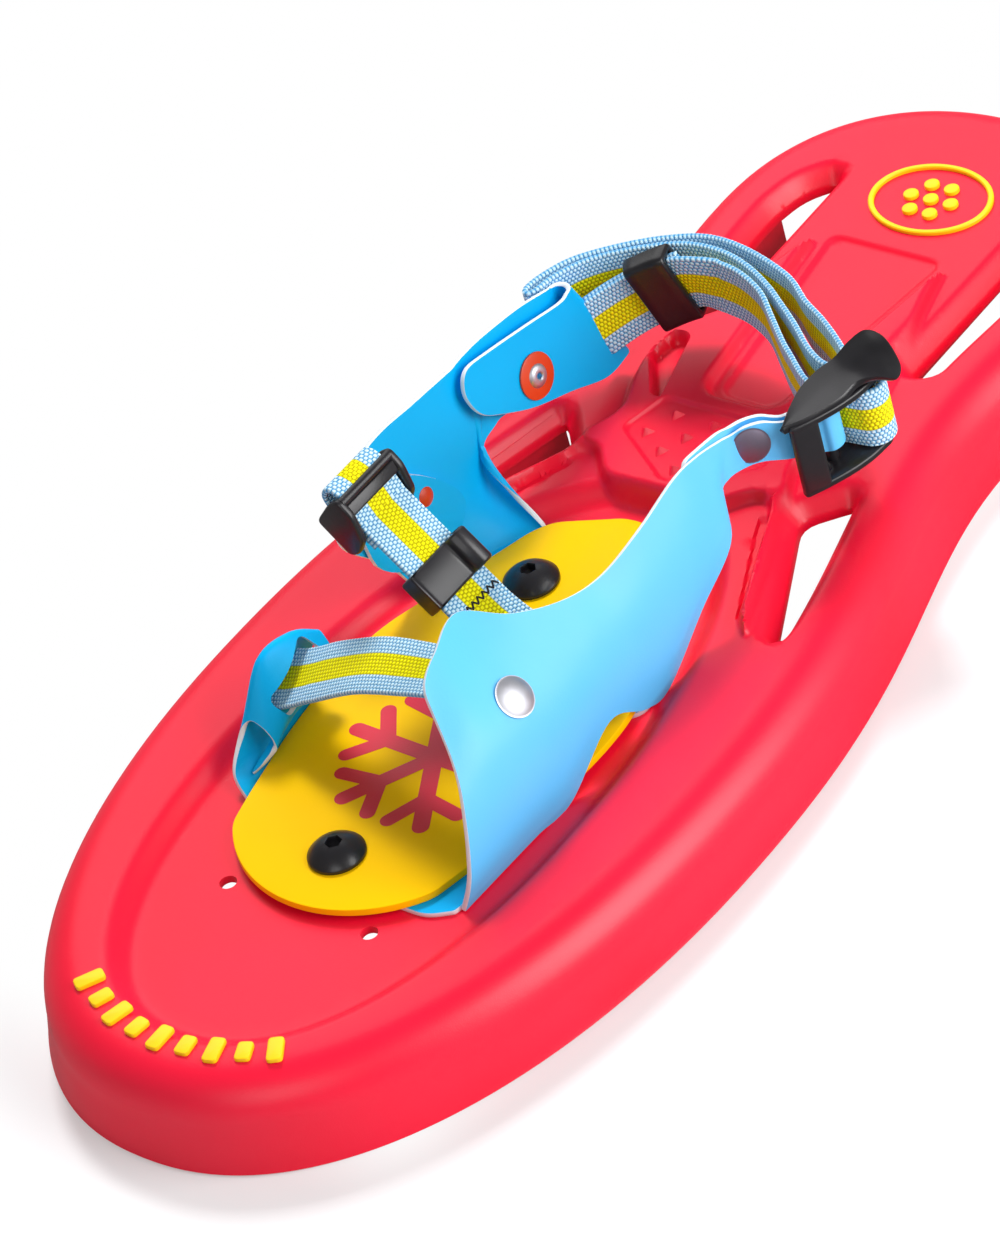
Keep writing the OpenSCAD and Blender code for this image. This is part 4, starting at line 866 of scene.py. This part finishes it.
at_z = lambda points: [[x, y, HEEL_Z] for x, y in points]
from_b = lambda points: [bar_b + p for p in points]
from_heel = lambda points: [heel_c + p for p in points]
round_heel = [[*arc(heel_c, r, [a])[0], z] for a, r, z in ((93, 41.8, 58), (80, 41.3, 57.4), (65, 40.5, 56.2),
                                                           (50, 39.3, 55))]
to_bar = from_b([(-32.3, 6.6), (-26.3, 2), (-19.5, -3.2), (-14.6, -6), (-10, -6.6), (-4.8, -5.8)])
from_bar = from_b([(-8.7, 3.3), (-15.2, 2.4), (-23.2, 6.4), (-32.4, 13.5), (-39, 18.2)])
inner_run, outer_run = catmull([*round_heel, *at_z(to_bar)], 3), catmull(at_z([*from_bar, split_at]), 3)
heel_rows = [tip_row(a, HEEL_R + LAYER) for a in range(105, 146, 8)] + [turn_row(b) for b in range(0, 181, 45)]
heel_rows += [tip_row(a, HEEL_R) for a in range(145, 104, -8)]
heel_rows += upright([*inner_run, *at_z(arc(bar_b, BAR_LOOP_R, np.linspace(-88, 107, 10))), *outer_run])
strap("heel_web", "heel_strap", heel_rows, steps=3)

tail_path = catmull([split_at + [-0.13, 0.09], (0, 93.4), *from_heel([
    (-4, 49), (-17, 48.4), (-30.5, 41), (-40.5, 31.9), (-45.6, 22), (-47, 15), (-48.6, 12.8), (-50.2, 15), (-49, 22),
    (-44.5, 31.5), (-34, 41.9), (-23, 49.4), (-12, 53.5), (2, 52.4)]),
    *from_b([(-47.3, 31.5), (-36.3, 24), (-27.3, 19), (-20.3, 14.5), (-13.8, 9.8)])], 3)
strap("heel_web_tail", "heel_strap_tail", upright(at_z(tail_path)), steps=3)

# %% [markdown]
# ## Foot plate
# The foot plate is cut from thick sheet with a rounded edge. A snowflake is printed on it in
# red.

# %% Foot plate
PLATE_Z = 26.0
nose = arc((0, -99), 42, np.linspace(-90, -34, 8))
plate_right = np.array([*nose, (37.5, -112), (43, -85), (45.5, -60), (44.5, -42), (27.5, 9), (23.5, 14.5),
                        (17.5, 17.5), (5, 23.5), (0, 23.9)])
plate_levels = [(0.5, PLATE_Z), (0.14, 25.86), (0, 25.5), (0, 23.9), (0.4, 23.5)]
add_piece("foot_plate_sheet", prism(rounded(both_halves(plate_right), 9, 8), plate_levels, down=True),
          [yellow], "plate_yellow", "foot_plate")

# %% [markdown]
# One arm of the snowflake is a flat outline with three round-ended prongs, pointed at the
# middle so that six of them meet there. Geometry Nodes sets the six, and the same helper
# later sets cleats, bars, dots and stitches.

# %% Pattern by Geometry Nodes
def pattern(name, part, places, turns, material, stands_for=None, smooth_angle=30):
    """Sets the part, in its own frame, on every place with a turn about its axes, as one mesh."""
    points, faces = part
    template = make("template", (np.asarray(points, float) - [0, BIND_Y, 0], faces), smooth_angle=smooth_angle)
    group = bpy.data.node_groups.new(name, "GeometryNodeTree")
    wanted = dict(Geometry="Geometry", Template="Object", Finish="Material")
    sockets = {label: group.interface.new_socket(label, in_out="INPUT", socket_type="NodeSocket" + kind).identifier
               for label, kind in wanted.items()}
    group.interface.new_socket("Geometry", in_out="OUTPUT", socket_type="NodeSocketGeometry")
    start, end, source, turn, place, real, finish = (group.nodes.new(kind) for kind in (
        "NodeGroupInput", "NodeGroupOutput", "GeometryNodeObjectInfo", "GeometryNodeInputNamedAttribute",
        "GeometryNodeInstanceOnPoints", "GeometryNodeRealizeInstances", "GeometryNodeSetMaterial"))
    turn.data_type = "FLOAT_VECTOR"
    turn.inputs["Name"].default_value = "turn"
    for giver, output, taker, socket in (
            (start, "Template", source, "Object"), (start, "Geometry", place, "Points"),
            (source, "Geometry", place, "Instance"), (turn, "Attribute", place, "Rotation"),
            (place, "Instances", real, "Geometry"), (real, "Geometry", finish, "Geometry"),
            (start, "Finish", finish, "Material"), (finish, "Geometry", end, "Geometry")):
        group.links.new(giver.outputs[output], taker.inputs[socket])
    guide = make(name, (places, []))
    attribute = guide.data.attributes.new("turn", "FLOAT_VECTOR", "POINT")
    attribute.data.foreach_set("vector", np.asarray(turns, float).ravel())
    modifier = guide.modifiers.new("pattern", "NODES")
    modifier.node_group = group
    modifier[sockets["Template"]], modifier[sockets["Finish"]] = template, material
    claim(bake(guide, template), stands_for)
    print(name, "patterned to", len(guide.data.polygons), "faces")

# %% Snowflake print
def flake_arm(width=5.0, prong=4.6, fork=16.5, reach=27.4, side=(23.9, 9.6)):
    lean = atan2(side[1], side[0] - fork)
    half, up = width / 2, []
    for gap in (-prong / 2, prong / 2):
        run = (half + gap * cos(lean)) / sin(lean)
        up.append((fork + gap * sin(lean) + run * cos(lean), half))
    inner, outer = up
    round_end = lambda centre, r, facing: arc(centre, r, np.degrees(facing) + np.linspace(-90, 90, 10))
    upper = [outer, *round_end(side, prong / 2, lean), inner, (half / tan(pi / 6), half)]
    outline = [*round_end((reach, 0), half, 0), *upper, (0, 0), *[(x, -y) for x, y in upper[::-1]]]
    return [(x, y, z) for z in (-0.15, 0.08) for x, y in outline], bands(len(outline), 2)

FLAKE_AT, FLAKE_TURN = (3.1, -79.1, PLATE_Z), 58.7
pattern("snowflake_print", flake_arm(), [FLAKE_AT] * 6, [(0, 0, radians(FLAKE_TURN + 60 * k)) for k in range(6)],
        flake_red)

# %% [markdown]
# ## Pattern pieces of the deck
# The cleats on the heel pad are small three-sided points. The bars round the toe and the
# motif in the tail's oval ring are raised and rounded.

# %% Cleats and motifs
RAISED, PAD_Z = 1.2, 29.75
BARS_R, BARS_Y, BARS_STEP = 60, TOE_Y + 76, 8.1
raised_levels = [(0, 0), (0, RAISED - 0.35), (0.105, RAISED - 0.105), (0.35, RAISED)]

def cleat():
    base = rounded(arc((0, 0), 3, (0, 120, 240)), 0.7, 3)
    rings = [np.column_stack([base * size, np.full(len(base), z)]) for size, z in ((1, 0), (0.42, 1.15), (0.12, 1.78))]
    return np.vstack(rings), bands(len(base), 3)

cleat_at = [(-13.5, 8), (0, 8), (13.5, 8), (-5, 0.5), (5, 0.5), (-17.5, -1.5), (17.5, -1.5), (-8.7, -7), (8.7, -7),
            (0, -12.5)]
pattern("heel_cleats", cleat(), [(x, y + HEEL_Y, PAD_Z) for x, y in cleat_at],
        [(0, 0, radians(34))] * len(cleat_at), red, smooth_angle=35)

for label, length, which, node in (("long", 8.5, range(-4, 5, 2), "toe_motif"), ("short", 6.5, range(-3, 4, 2), None)):
    corners = [(2.2, -length / 2), (2.2, length / 2), (-2.2, length / 2), (-2.2, -length / 2)]
    turn = [radians(BARS_STEP * k) for k in which]
    where = [(BARS_R * sin(a), BARS_Y - BARS_R * cos(a), DECK_H) for a in turn]
    pattern("toe_bars_" + label, prism(rounded(corners, 1.3, 5), raised_levels), where,
            [(0, 0, a) for a in turn], motif, node)

motif_y = TAIL_Y - 49.5
around = [(0, 0), *arc((0, 0), 7, range(0, 360, 60))]
pattern("tail_dots", prism(circle(2.35, 24), raised_levels), [(x, motif_y + y, DECK_H) for x, y in around],
        [(0, 0, 0)] * len(around), motif)

def oval_ring():
    count = 96
    oval = circle(1, count)
    side = outward(oval * [1.25, 1])
    profile = [(-0.85, 0), (-0.85, 0.9), (-0.5, RAISED), (0.5, RAISED), (0.85, 0.9), (0.85, 0)]
    rings = [np.column_stack([oval * [18.95, 15.1] + side * d + [0, motif_y], np.full(count, DECK_H + h)])
             for d, h in profile]
    return np.vstack(rings), bands(count, len(profile), down=True, closed=True)

add_piece("tail_ring", oval_ring(), [motif], "motif_yellow", "tail_motif")

# %% [markdown]
# ## Buckles
# Each moulded piece is built in its own local frame and then placed. A lathe and a swept
# loop with an inner and an outer outline serve them all.

# %% Hardware builders
def lathe(profile, segments=48, closed=False):
    """Turns (radius, height) points round Z, from the top down the outside."""
    turn = np.linspace(0, 2 * pi, segments, endpoint=False)
    return ([(r * cos(a), r * sin(a), z) for r, z in profile for a in turn],
            bands(segments, len(profile), down=True, closed=closed))

def swept_loop(stations, down=False):
    """A closed wall between an outer and an inner outline, given at several stations."""
    outer, inner = zip(*stations)
    return np.vstack([*outer, *inner[::-1]]), bands(len(outer[0]), 2 * len(outer), down, closed=True)

# %% [markdown]
# The heel keeper follows the strap's own arc in its tipped plane. Its outer edges are round.

# %% Heel keeper
KEEPER_HALF = 9.55

def keeper():
    outer, inner = rounded_rect((38.8, -12.15), (47.3, 12.15), 2.2), rounded_rect((40.8, -10.15), (45.3, 10.15), 1.0)
    stations = []
    for t, grow in ((-1, 0.9), (-0.97, 0.35), (-0.9, 0), (-0.5, 0), (0, 0), (0.5, 0), (0.9, 0), (0.97, 0.35), (1, 0.9)):
        ray = tip_ray(KEEPER_AT + KEEPER_HALF * t)
        stations.append([np.array([*heel_c, HEEL_Z]) + o[:, :1] * ray + o[:, 1:] * tip_up for o in (
            outer - grow * outward(outer), inner + 0.3 * grow * outward(inner))])
    return swept_loop(stations, down=True)

add_piece("heel_keeper_loop", keeper(), [moulded], "black_plastic", "heel_keeper", "heel_keeper", smooth_angle=60)

# %% [markdown]
# The heel buckle has two bars between two plates, a wall in front of the arm, and a
# leaf-shaped thumb tab that curls up at its rear end.

# %% Heel buckle
PLATE_LOW, PLATE_HIGH = 10.15, 12.35

def heel_buckle():
    bar = lathe([(2, 10.8), (2, -10.8)], 24)
    side = rounded([*arc((0, 0), 5.5, range(60, 241, 15)), (-13.2, -6.4), (-13.2, -9.4), (-5, -9.4), (3, -8.6),
                    (10, -6.9), *arc((BAR_GAP, 0), 4.5, range(-60, 91, 15))], 3)
    tab_rows = [(-14.5, -7.5, 1.8, -7, 1.5, -6.5, 1.8), (-9, -8.5, 2.2, -4.5, 1.7, -1, 2.2),
                (-3, -8.5, 2.5, -2, 2, 4, 2.5), (4, -7.8, 3, 0, 2.5, 7, 3), (10, -6, 4, 1, 4.2, 7, 4.5),
                (15, -7.5, 4.2, 0, 7, 6.8, 7.6), (19.5, -10.5, 3, -2.5, 8.6, 5.6, 10),
                (22.5, -10.5, 3.4, -4, 8.8, 2.2, 10.6)]
    rows = [[(x, y, PLATE_LOW + z) for y, z in zip(pairs[::2], pairs[1::2])] for x, *pairs in tab_rows]
    tab, _ = thicken(round_corners(surface(rows, 8, 10), (0, 0, 4.5, 4)), 2.2)
    front = soft_slab(rounded_rect((-13.2, -9.4), (-4.6, -6.6), 1.3), -11.2, 11.2, 0.3)
    return joined([bar, placed(bar, shift(BAR_GAP, 0, 0)), soft_slab(side, -PLATE_HIGH, -PLATE_LOW),
                   soft_slab(side, PLATE_LOW, PLATE_HIGH), front, tab])

add_piece("heel_buckle_frame", placed(heel_buckle(), shift(*BAR_A, HEEL_Z), turned(BUCKLE_TURN, "Z")), [moulded],
          "black_plastic", "heel_buckle", "heel_buckle", smooth_angle=45)

# %% [markdown]
# The instep strap carries a slider with a lip and a roll, and a ladder buckle with a round
# and a flat bar over the strap and two round bars under it.

# %% Instep slider and buckle
def on_instep(s):
    x, z = on_strap(s, 0)
    return shift(x, INSTEP_Y, z) @ Matrix.Rotation(atan2(slope[1], -slope[0]) + pi, 4, "Y")

def slider():
    outer = rounded([(-12.15, -3.2), (12.15, -3.2), (12.15, 3.2), (10.6, 6.0), (7.4, 6.2), (5.0, 4.2), (4.7, 2.2),
                     (-10.6, 2.2), (-11.2, 4.0), (-12.15, 3.9)], 1.2)
    inner = rounded([(-10.15, -1.2), (10.6, -1.2), (10.7, 3.0), (9.8, 4.5), (7.9, 4.7), (6.3, 3.2), (6.0, 1.2),
                     (-7.0, 1.2), (-9.6, 1.2), (-10.15, 0.9)], 0.5)
    outer, inner = resample(outer, 144), resample(inner, 144)
    lay = lambda x, o: np.column_stack([np.full(len(o), x), o])
    ends = ((-6, 0.75, 0.3), (-5.75, 0.25, 0.1), (-5.2, 0, 0), (5.2, 0, 0), (5.75, 0.25, 0.1), (6, 0.75, 0.3))
    return swept_loop([(lay(x, outer - grow * outward(outer)), lay(x, inner + flare * outward(inner)))
                       for x, grow, flare in ends])

def ladder_buckle():
    lie = turned(90, "X")
    cheek = soft_slab(rounded([(-8.6, -7.6), (4.6, -8.2), (6.2, -4.2), (4.4, 1.2), (-3.2, 6.0), (-8.8, 6.4),
                               (-9.8, 2.0)], 1.9), -1.2, 1.2, 0.7)
    bar = lathe([(1.55, 11), (1.55, -11)], 24)
    flat = soft_slab(rounded_rect((-1.9, -1.0), (1.9, 1.0), 0.7), -11, 11, 0.3)
    return joined([placed(cheek, shift(0, y, 0), lie) for y in (-11.3, 11.3)]
                  + [placed(bar, shift(x, 0, z), lie) for x, z in ((-7.4, 4.9), (-6.4, -6.0), (3.4, -6.2))]
                  + [placed(flat, shift(-4.4, 0, 4.3), turned(18, "Y"), lie)])

for body, part, place in (("instep_slider", slider(), on_instep(0)),
                          ("instep_buckle", ladder_buckle(), on_instep(-26) @ shift(0, 0, -1.2))):
    add_piece(body + "_loop", placed(part, place), [moulded], "black_plastic", body, body, smooth_angle=50)

# %% [markdown]
# ## Rivets and bolts
# Rivets, eyelet and washer are turned shapes, and the bolts are black with a hexagon socket.
# Each is placed square to its sheet.

# %% Rivets
def seat(x, y, z, about_y):
    return shift(x, y, z) @ turned(about_y, "Y")

def seat_on(grid, spot, lift):
    """The place on a sheet's outer face nearest to spot, turned to the sheet's own normal."""
    nearest = np.unravel_index(np.argmin(np.linalg.norm(grid - np.array(spot), axis=2)), grid.shape[:2])
    normal = Vector(grid_normals(grid)[nearest])
    return shift(*(Vector(grid[nearest]) + normal * (SHEET_T / 2 + lift))) @ (
        normal.to_track_quat("Z", "Y").to_matrix().to_4x4())

def rivet(r, h, grip):
    """A domed head of radius r and height h over a shank that holds grip, with a closed tail."""
    big = (r * r + h * h) / (2 * h)
    dome = [(r * s, h - big + sqrt(big * big - (r * s)**2))
            for s in (0.02, 0.15, 0.3, 0.45, 0.6, 0.72, 0.82, 0.9, 0.96)]
    return lathe(dome + [(r, 0.12), (r - 0.12, 0), (0.4 * r, 0), (0.4 * r, -grip), (0.6 * r, -grip),
                         (0.6 * r, -grip - 0.7), (0.02, -grip - 0.8)])

eyelet_at = seat(-42.6, 42, 52.4, 79)
eyelet = lathe([(1.0, 1.25), (1.35, 1.55), (2.2, 1.6), (3.0, 1.3), (3.5, 0.8), (3.6, 0.62), (1.5, 0.55), (1.5, -5.4),
                (2.1, -5.6), (2.1, -6.2), (1.0, -6.2)], closed=True)
washer = lathe([(1.6, 0.6), (6.6, 0.6), (6.92, 0.45), (7, 0.2), (6.95, 0), (1.6, 0)], closed=True)
outer_layer = near_grid[:125]
for name, node, part, place, finish in (
        ("near_rivet_dome", "near_rivet", rivet(6, 1.6, 3.4), seat_on(near_grid, (39.4, -78.8, 60.6), 0.2), bright),
        ("arm_rivet_head", "arm_rivet", rivet(5.4, 1.0, 3.7), seat_on(outer_layer, (43.1, 30.0, 62.4), 0.1), dull),
        ("lug_rivet_head", "lug_rivet", rivet(2.4, 0.8, 3), seat(-43.7, -91.5, 40.5, 75), bright),
        ("tab_rivet_head", "tab_rivet", rivet(2.9, 0.8, 3.65), seat(-44.7, -10.3, 48.7, 80.5), orange),
        ("far_eyelet_ring", "far_eyelet", eyelet, eyelet_at, bright),
        ("far_washer_ring", "far_washer", washer, eyelet_at, orange)):
    add_piece(name, placed(part, place), [finish], "washer_orange" if finish is orange else "rivet_steel", node,
              smooth_angle=35)

# %% Plate bolts
BOLT_H, DOME_R, SOCKET = 5, 10.51, 2.05

def bolt():
    turn = np.linspace(0, 2 * pi, 72, endpoint=False)
    flat = SOCKET / np.cos((turn + pi / 6) % (pi / 3) - pi / 6)
    crown = lambda r: BOLT_H - DOME_R + sqrt(DOME_R**2 - r**2)
    rings = [(flat, 2.5), (flat, 4.55), (flat + 0.15, 4.78)]
    rings += [(r, crown(r)) for r in (3.2, 4.2, 5.2, 6.1, 6.9, 7.5, 7.9, 8.1)]
    rings += [(8.25, 0.9), (8.25, 0.25), (8.1, 0), (3.0, 0), (3.0, -13)]
    points = [np.column_stack([r * np.cos(turn), r * np.sin(turn), np.full(72, z)]) for r, z in rings]
    return np.vstack(points), bands(72, len(points), down=True)

add_piece("plate_bolt_heads", joined([placed(bolt(), shift(x, y, PLATE_Z), turned(turn, "Z"))
                                      for x, y, turn in ((1, -121, 12), (-14.5, -9, 40))]),
          [moulded], "bolt_black", "plate_bolts", smooth_angle=35)

# %% [markdown]
# A bar tack in black thread crosses the instep strap near its low end. One stitch is a short
# thread sunk at both ends, and Geometry Nodes lays a zigzag of them.

# %% Stitches
TACK_AT, TACK_TURN, TACKS = 11.6, 32, 15

def stitch():
    ring = np.linspace(0, 2 * pi, 8, endpoint=False)
    points = [(1.15 * t, 0.24 * cos(a), 0.24 * sin(a) + 0.22 * (1 - t * t) - 0.05)
              for t in np.linspace(-1, 1, 9) for a in ring]
    return points, bands(8, 9)

thread = Tree("thread_black")
thread_black = thread.surface(Base_Color=rgb(30, 28, 32), Roughness=0.7 + 0.1 * thread.noise(2000.0))
places = [tuple(on_instep(TACK_AT) @ Vector((0, v, WEB_T / 2))) for v in np.linspace(-8.2, 8.2, TACKS)]
turns = [tuple((on_instep(TACK_AT) @ turned(TACK_TURN * (-1)**k, "Z")).to_euler()) for k in range(TACKS)]
pattern("bar_tack", stitch(), places, turns, thread_black, smooth_angle=60)

# %% [markdown]
# Under the deck stand ribs and two pairs of toothed rails, which are seen through the slots.
# Each is a thin wall along a path, from its bottom line up into the deck.

# %% Ribs and rails
def wall(line, bottom, top, step=1.5, half=1.0):
    """A thin upright wall. Bottom and top are heights, or functions of the points and the run."""
    path = resample(line, max(2, int(round(run_along(line)[-1] / step)) + 1), closed=False)
    along = np.gradient(path, axis=0)
    side = np.column_stack([along[:, 1], -along[:, 0]]) / np.linalg.norm(along, axis=1)[:, None] * half
    low, high = (f(path, run_along(path)) if callable(f) else np.full(len(path), f) for f in (bottom, top))
    corners = [np.column_stack([path + s * side, z]) for s, z in ((1, low), (1, high), (-1, high), (-1, low))]
    return np.stack(corners, 1).reshape(-1, 3), bands(4, len(path), down=True)

def teeth(path, run):
    return 3 + 2.5 * np.abs((run / 6) % 1 * 2 - 1)

def under_deck(path, run):
    in_slot = np.min([distance(path, slot) for slot in slots], axis=0) < 2
    return np.where(in_slot, 17.5, np.minimum(25.5, deck_height(path) - 1.2))

walls = []
for s in (1, -1):
    walls += [wall([(s * 70, -6), (s * 54, 58)], teeth, under_deck),
              wall([(s * 50.5, 110), (s * 49.5, 164)], teeth, under_deck),
              wall([(s * 27, -168), (s * 27, -148)], 9, 20.5), wall([(s * 27, 46), (s * 27, 166)], 9, under_deck)]
walls += [wall([(-30, y), (30, y)], 11, 20) for y in (-165, -70, 20)]
add_piece("deck_ribs", joined(walls), [red], "deck_red", smooth_angle=30)

# %% [markdown]
# A pale floor keeps the shoe's soft shadow beside the near side and the toe. Camera rays see
# the floor and the world lifted to white, while the object itself gets only plain studio light.
# Under the deck the floor is lifted fully to white, painted light that wipes out the deck's
# shadow seen through the slots.

# %% Floor, world and lamps
WHITE = (1.0, 1.0, 1.0)

def floor_material():
    t = Tree("floor")
    x, y, _ = t.split(t.place())
    # Painted light: camera rays see the floor fully white under the deck, which paints out the deck's own shadow there;
    # far off it fades to white as backdrop.
    painted_light_under_deck, distant = x.step(0.085, 0.055) * y.step(-0.215, -0.18), (x * x + y * y).step(0.16, 0.8)
    t.surface(Base_Color=(0.86, 0.86, 0.87), Roughness=0.9, Specular_IOR_Level=0.1)
    lift = t.add("LightPath", out="Is Camera Ray") * (0.3 + 0.7 * painted_light_under_deck.math("MAXIMUM", distant))
    glow = t.add("Emission", values={"Color": WHITE, "Strength": 1.0})
    mixed = t.add("MixShader", values={0: lift, 1: Wire(t, t.nodes["Principled BSDF"].outputs[0]), 2: glow})
    t.feed(t.nodes["Material Output"], {"Surface": mixed})
    return t.material

bpy.ops.mesh.primitive_plane_add(size=8.0, location=(0, 0, -0.0004))
floor = bpy.context.object
floor.name = "floor"
floor.data.materials.append(floor_material())
floor.visible_glossy = False

sky = Tree("world", "worlds")
lit = sky.add("Background", values={"Color": WHITE, "Strength": 0.24})
seen = Wire(sky, sky.feed(sky.nodes["Background"], {"Color": WHITE, "Strength": 1.0}).outputs[0])
shown = sky.add("MixShader", values={0: sky.add("LightPath", out="Is Camera Ray"), 1: lit, 2: seen})
sky.feed(sky.nodes["World Output"], {"Surface": shown})
bpy.context.scene.world = sky.material

def lamp(name, place, target, size, power, glossy=True):
    data = bpy.data.lights.new(name, "AREA")
    data.shape, data.size, data.size_y, data.energy = "RECTANGLE", size[0], size[1], power
    obj = new_object(name, data)
    obj.location, obj.visible_glossy = place, glossy
    obj.rotation_euler = (Vector(target) - Vector(place)).to_track_quat("-Z", "Y").to_euler()

lamp("key", (-0.8, 0.9, 1.5), (0, 0, 0), (0.4, 0.4), 29, glossy=False)
lamp("side", (1.5, 0.45, 0.85), (0, 0, 0.05), (1.2, 1.5), 34)
lamp("sky", (-1.0, 0.95, 1.15), (0, 0, 0), (1.4, 1.4), 7)
lamp("front", (0.7, -1.6, 1.3), (0, 0, 0), (1.0, 1.0), 8)
bpy.context.scene.view_settings.view_transform = "Standard"
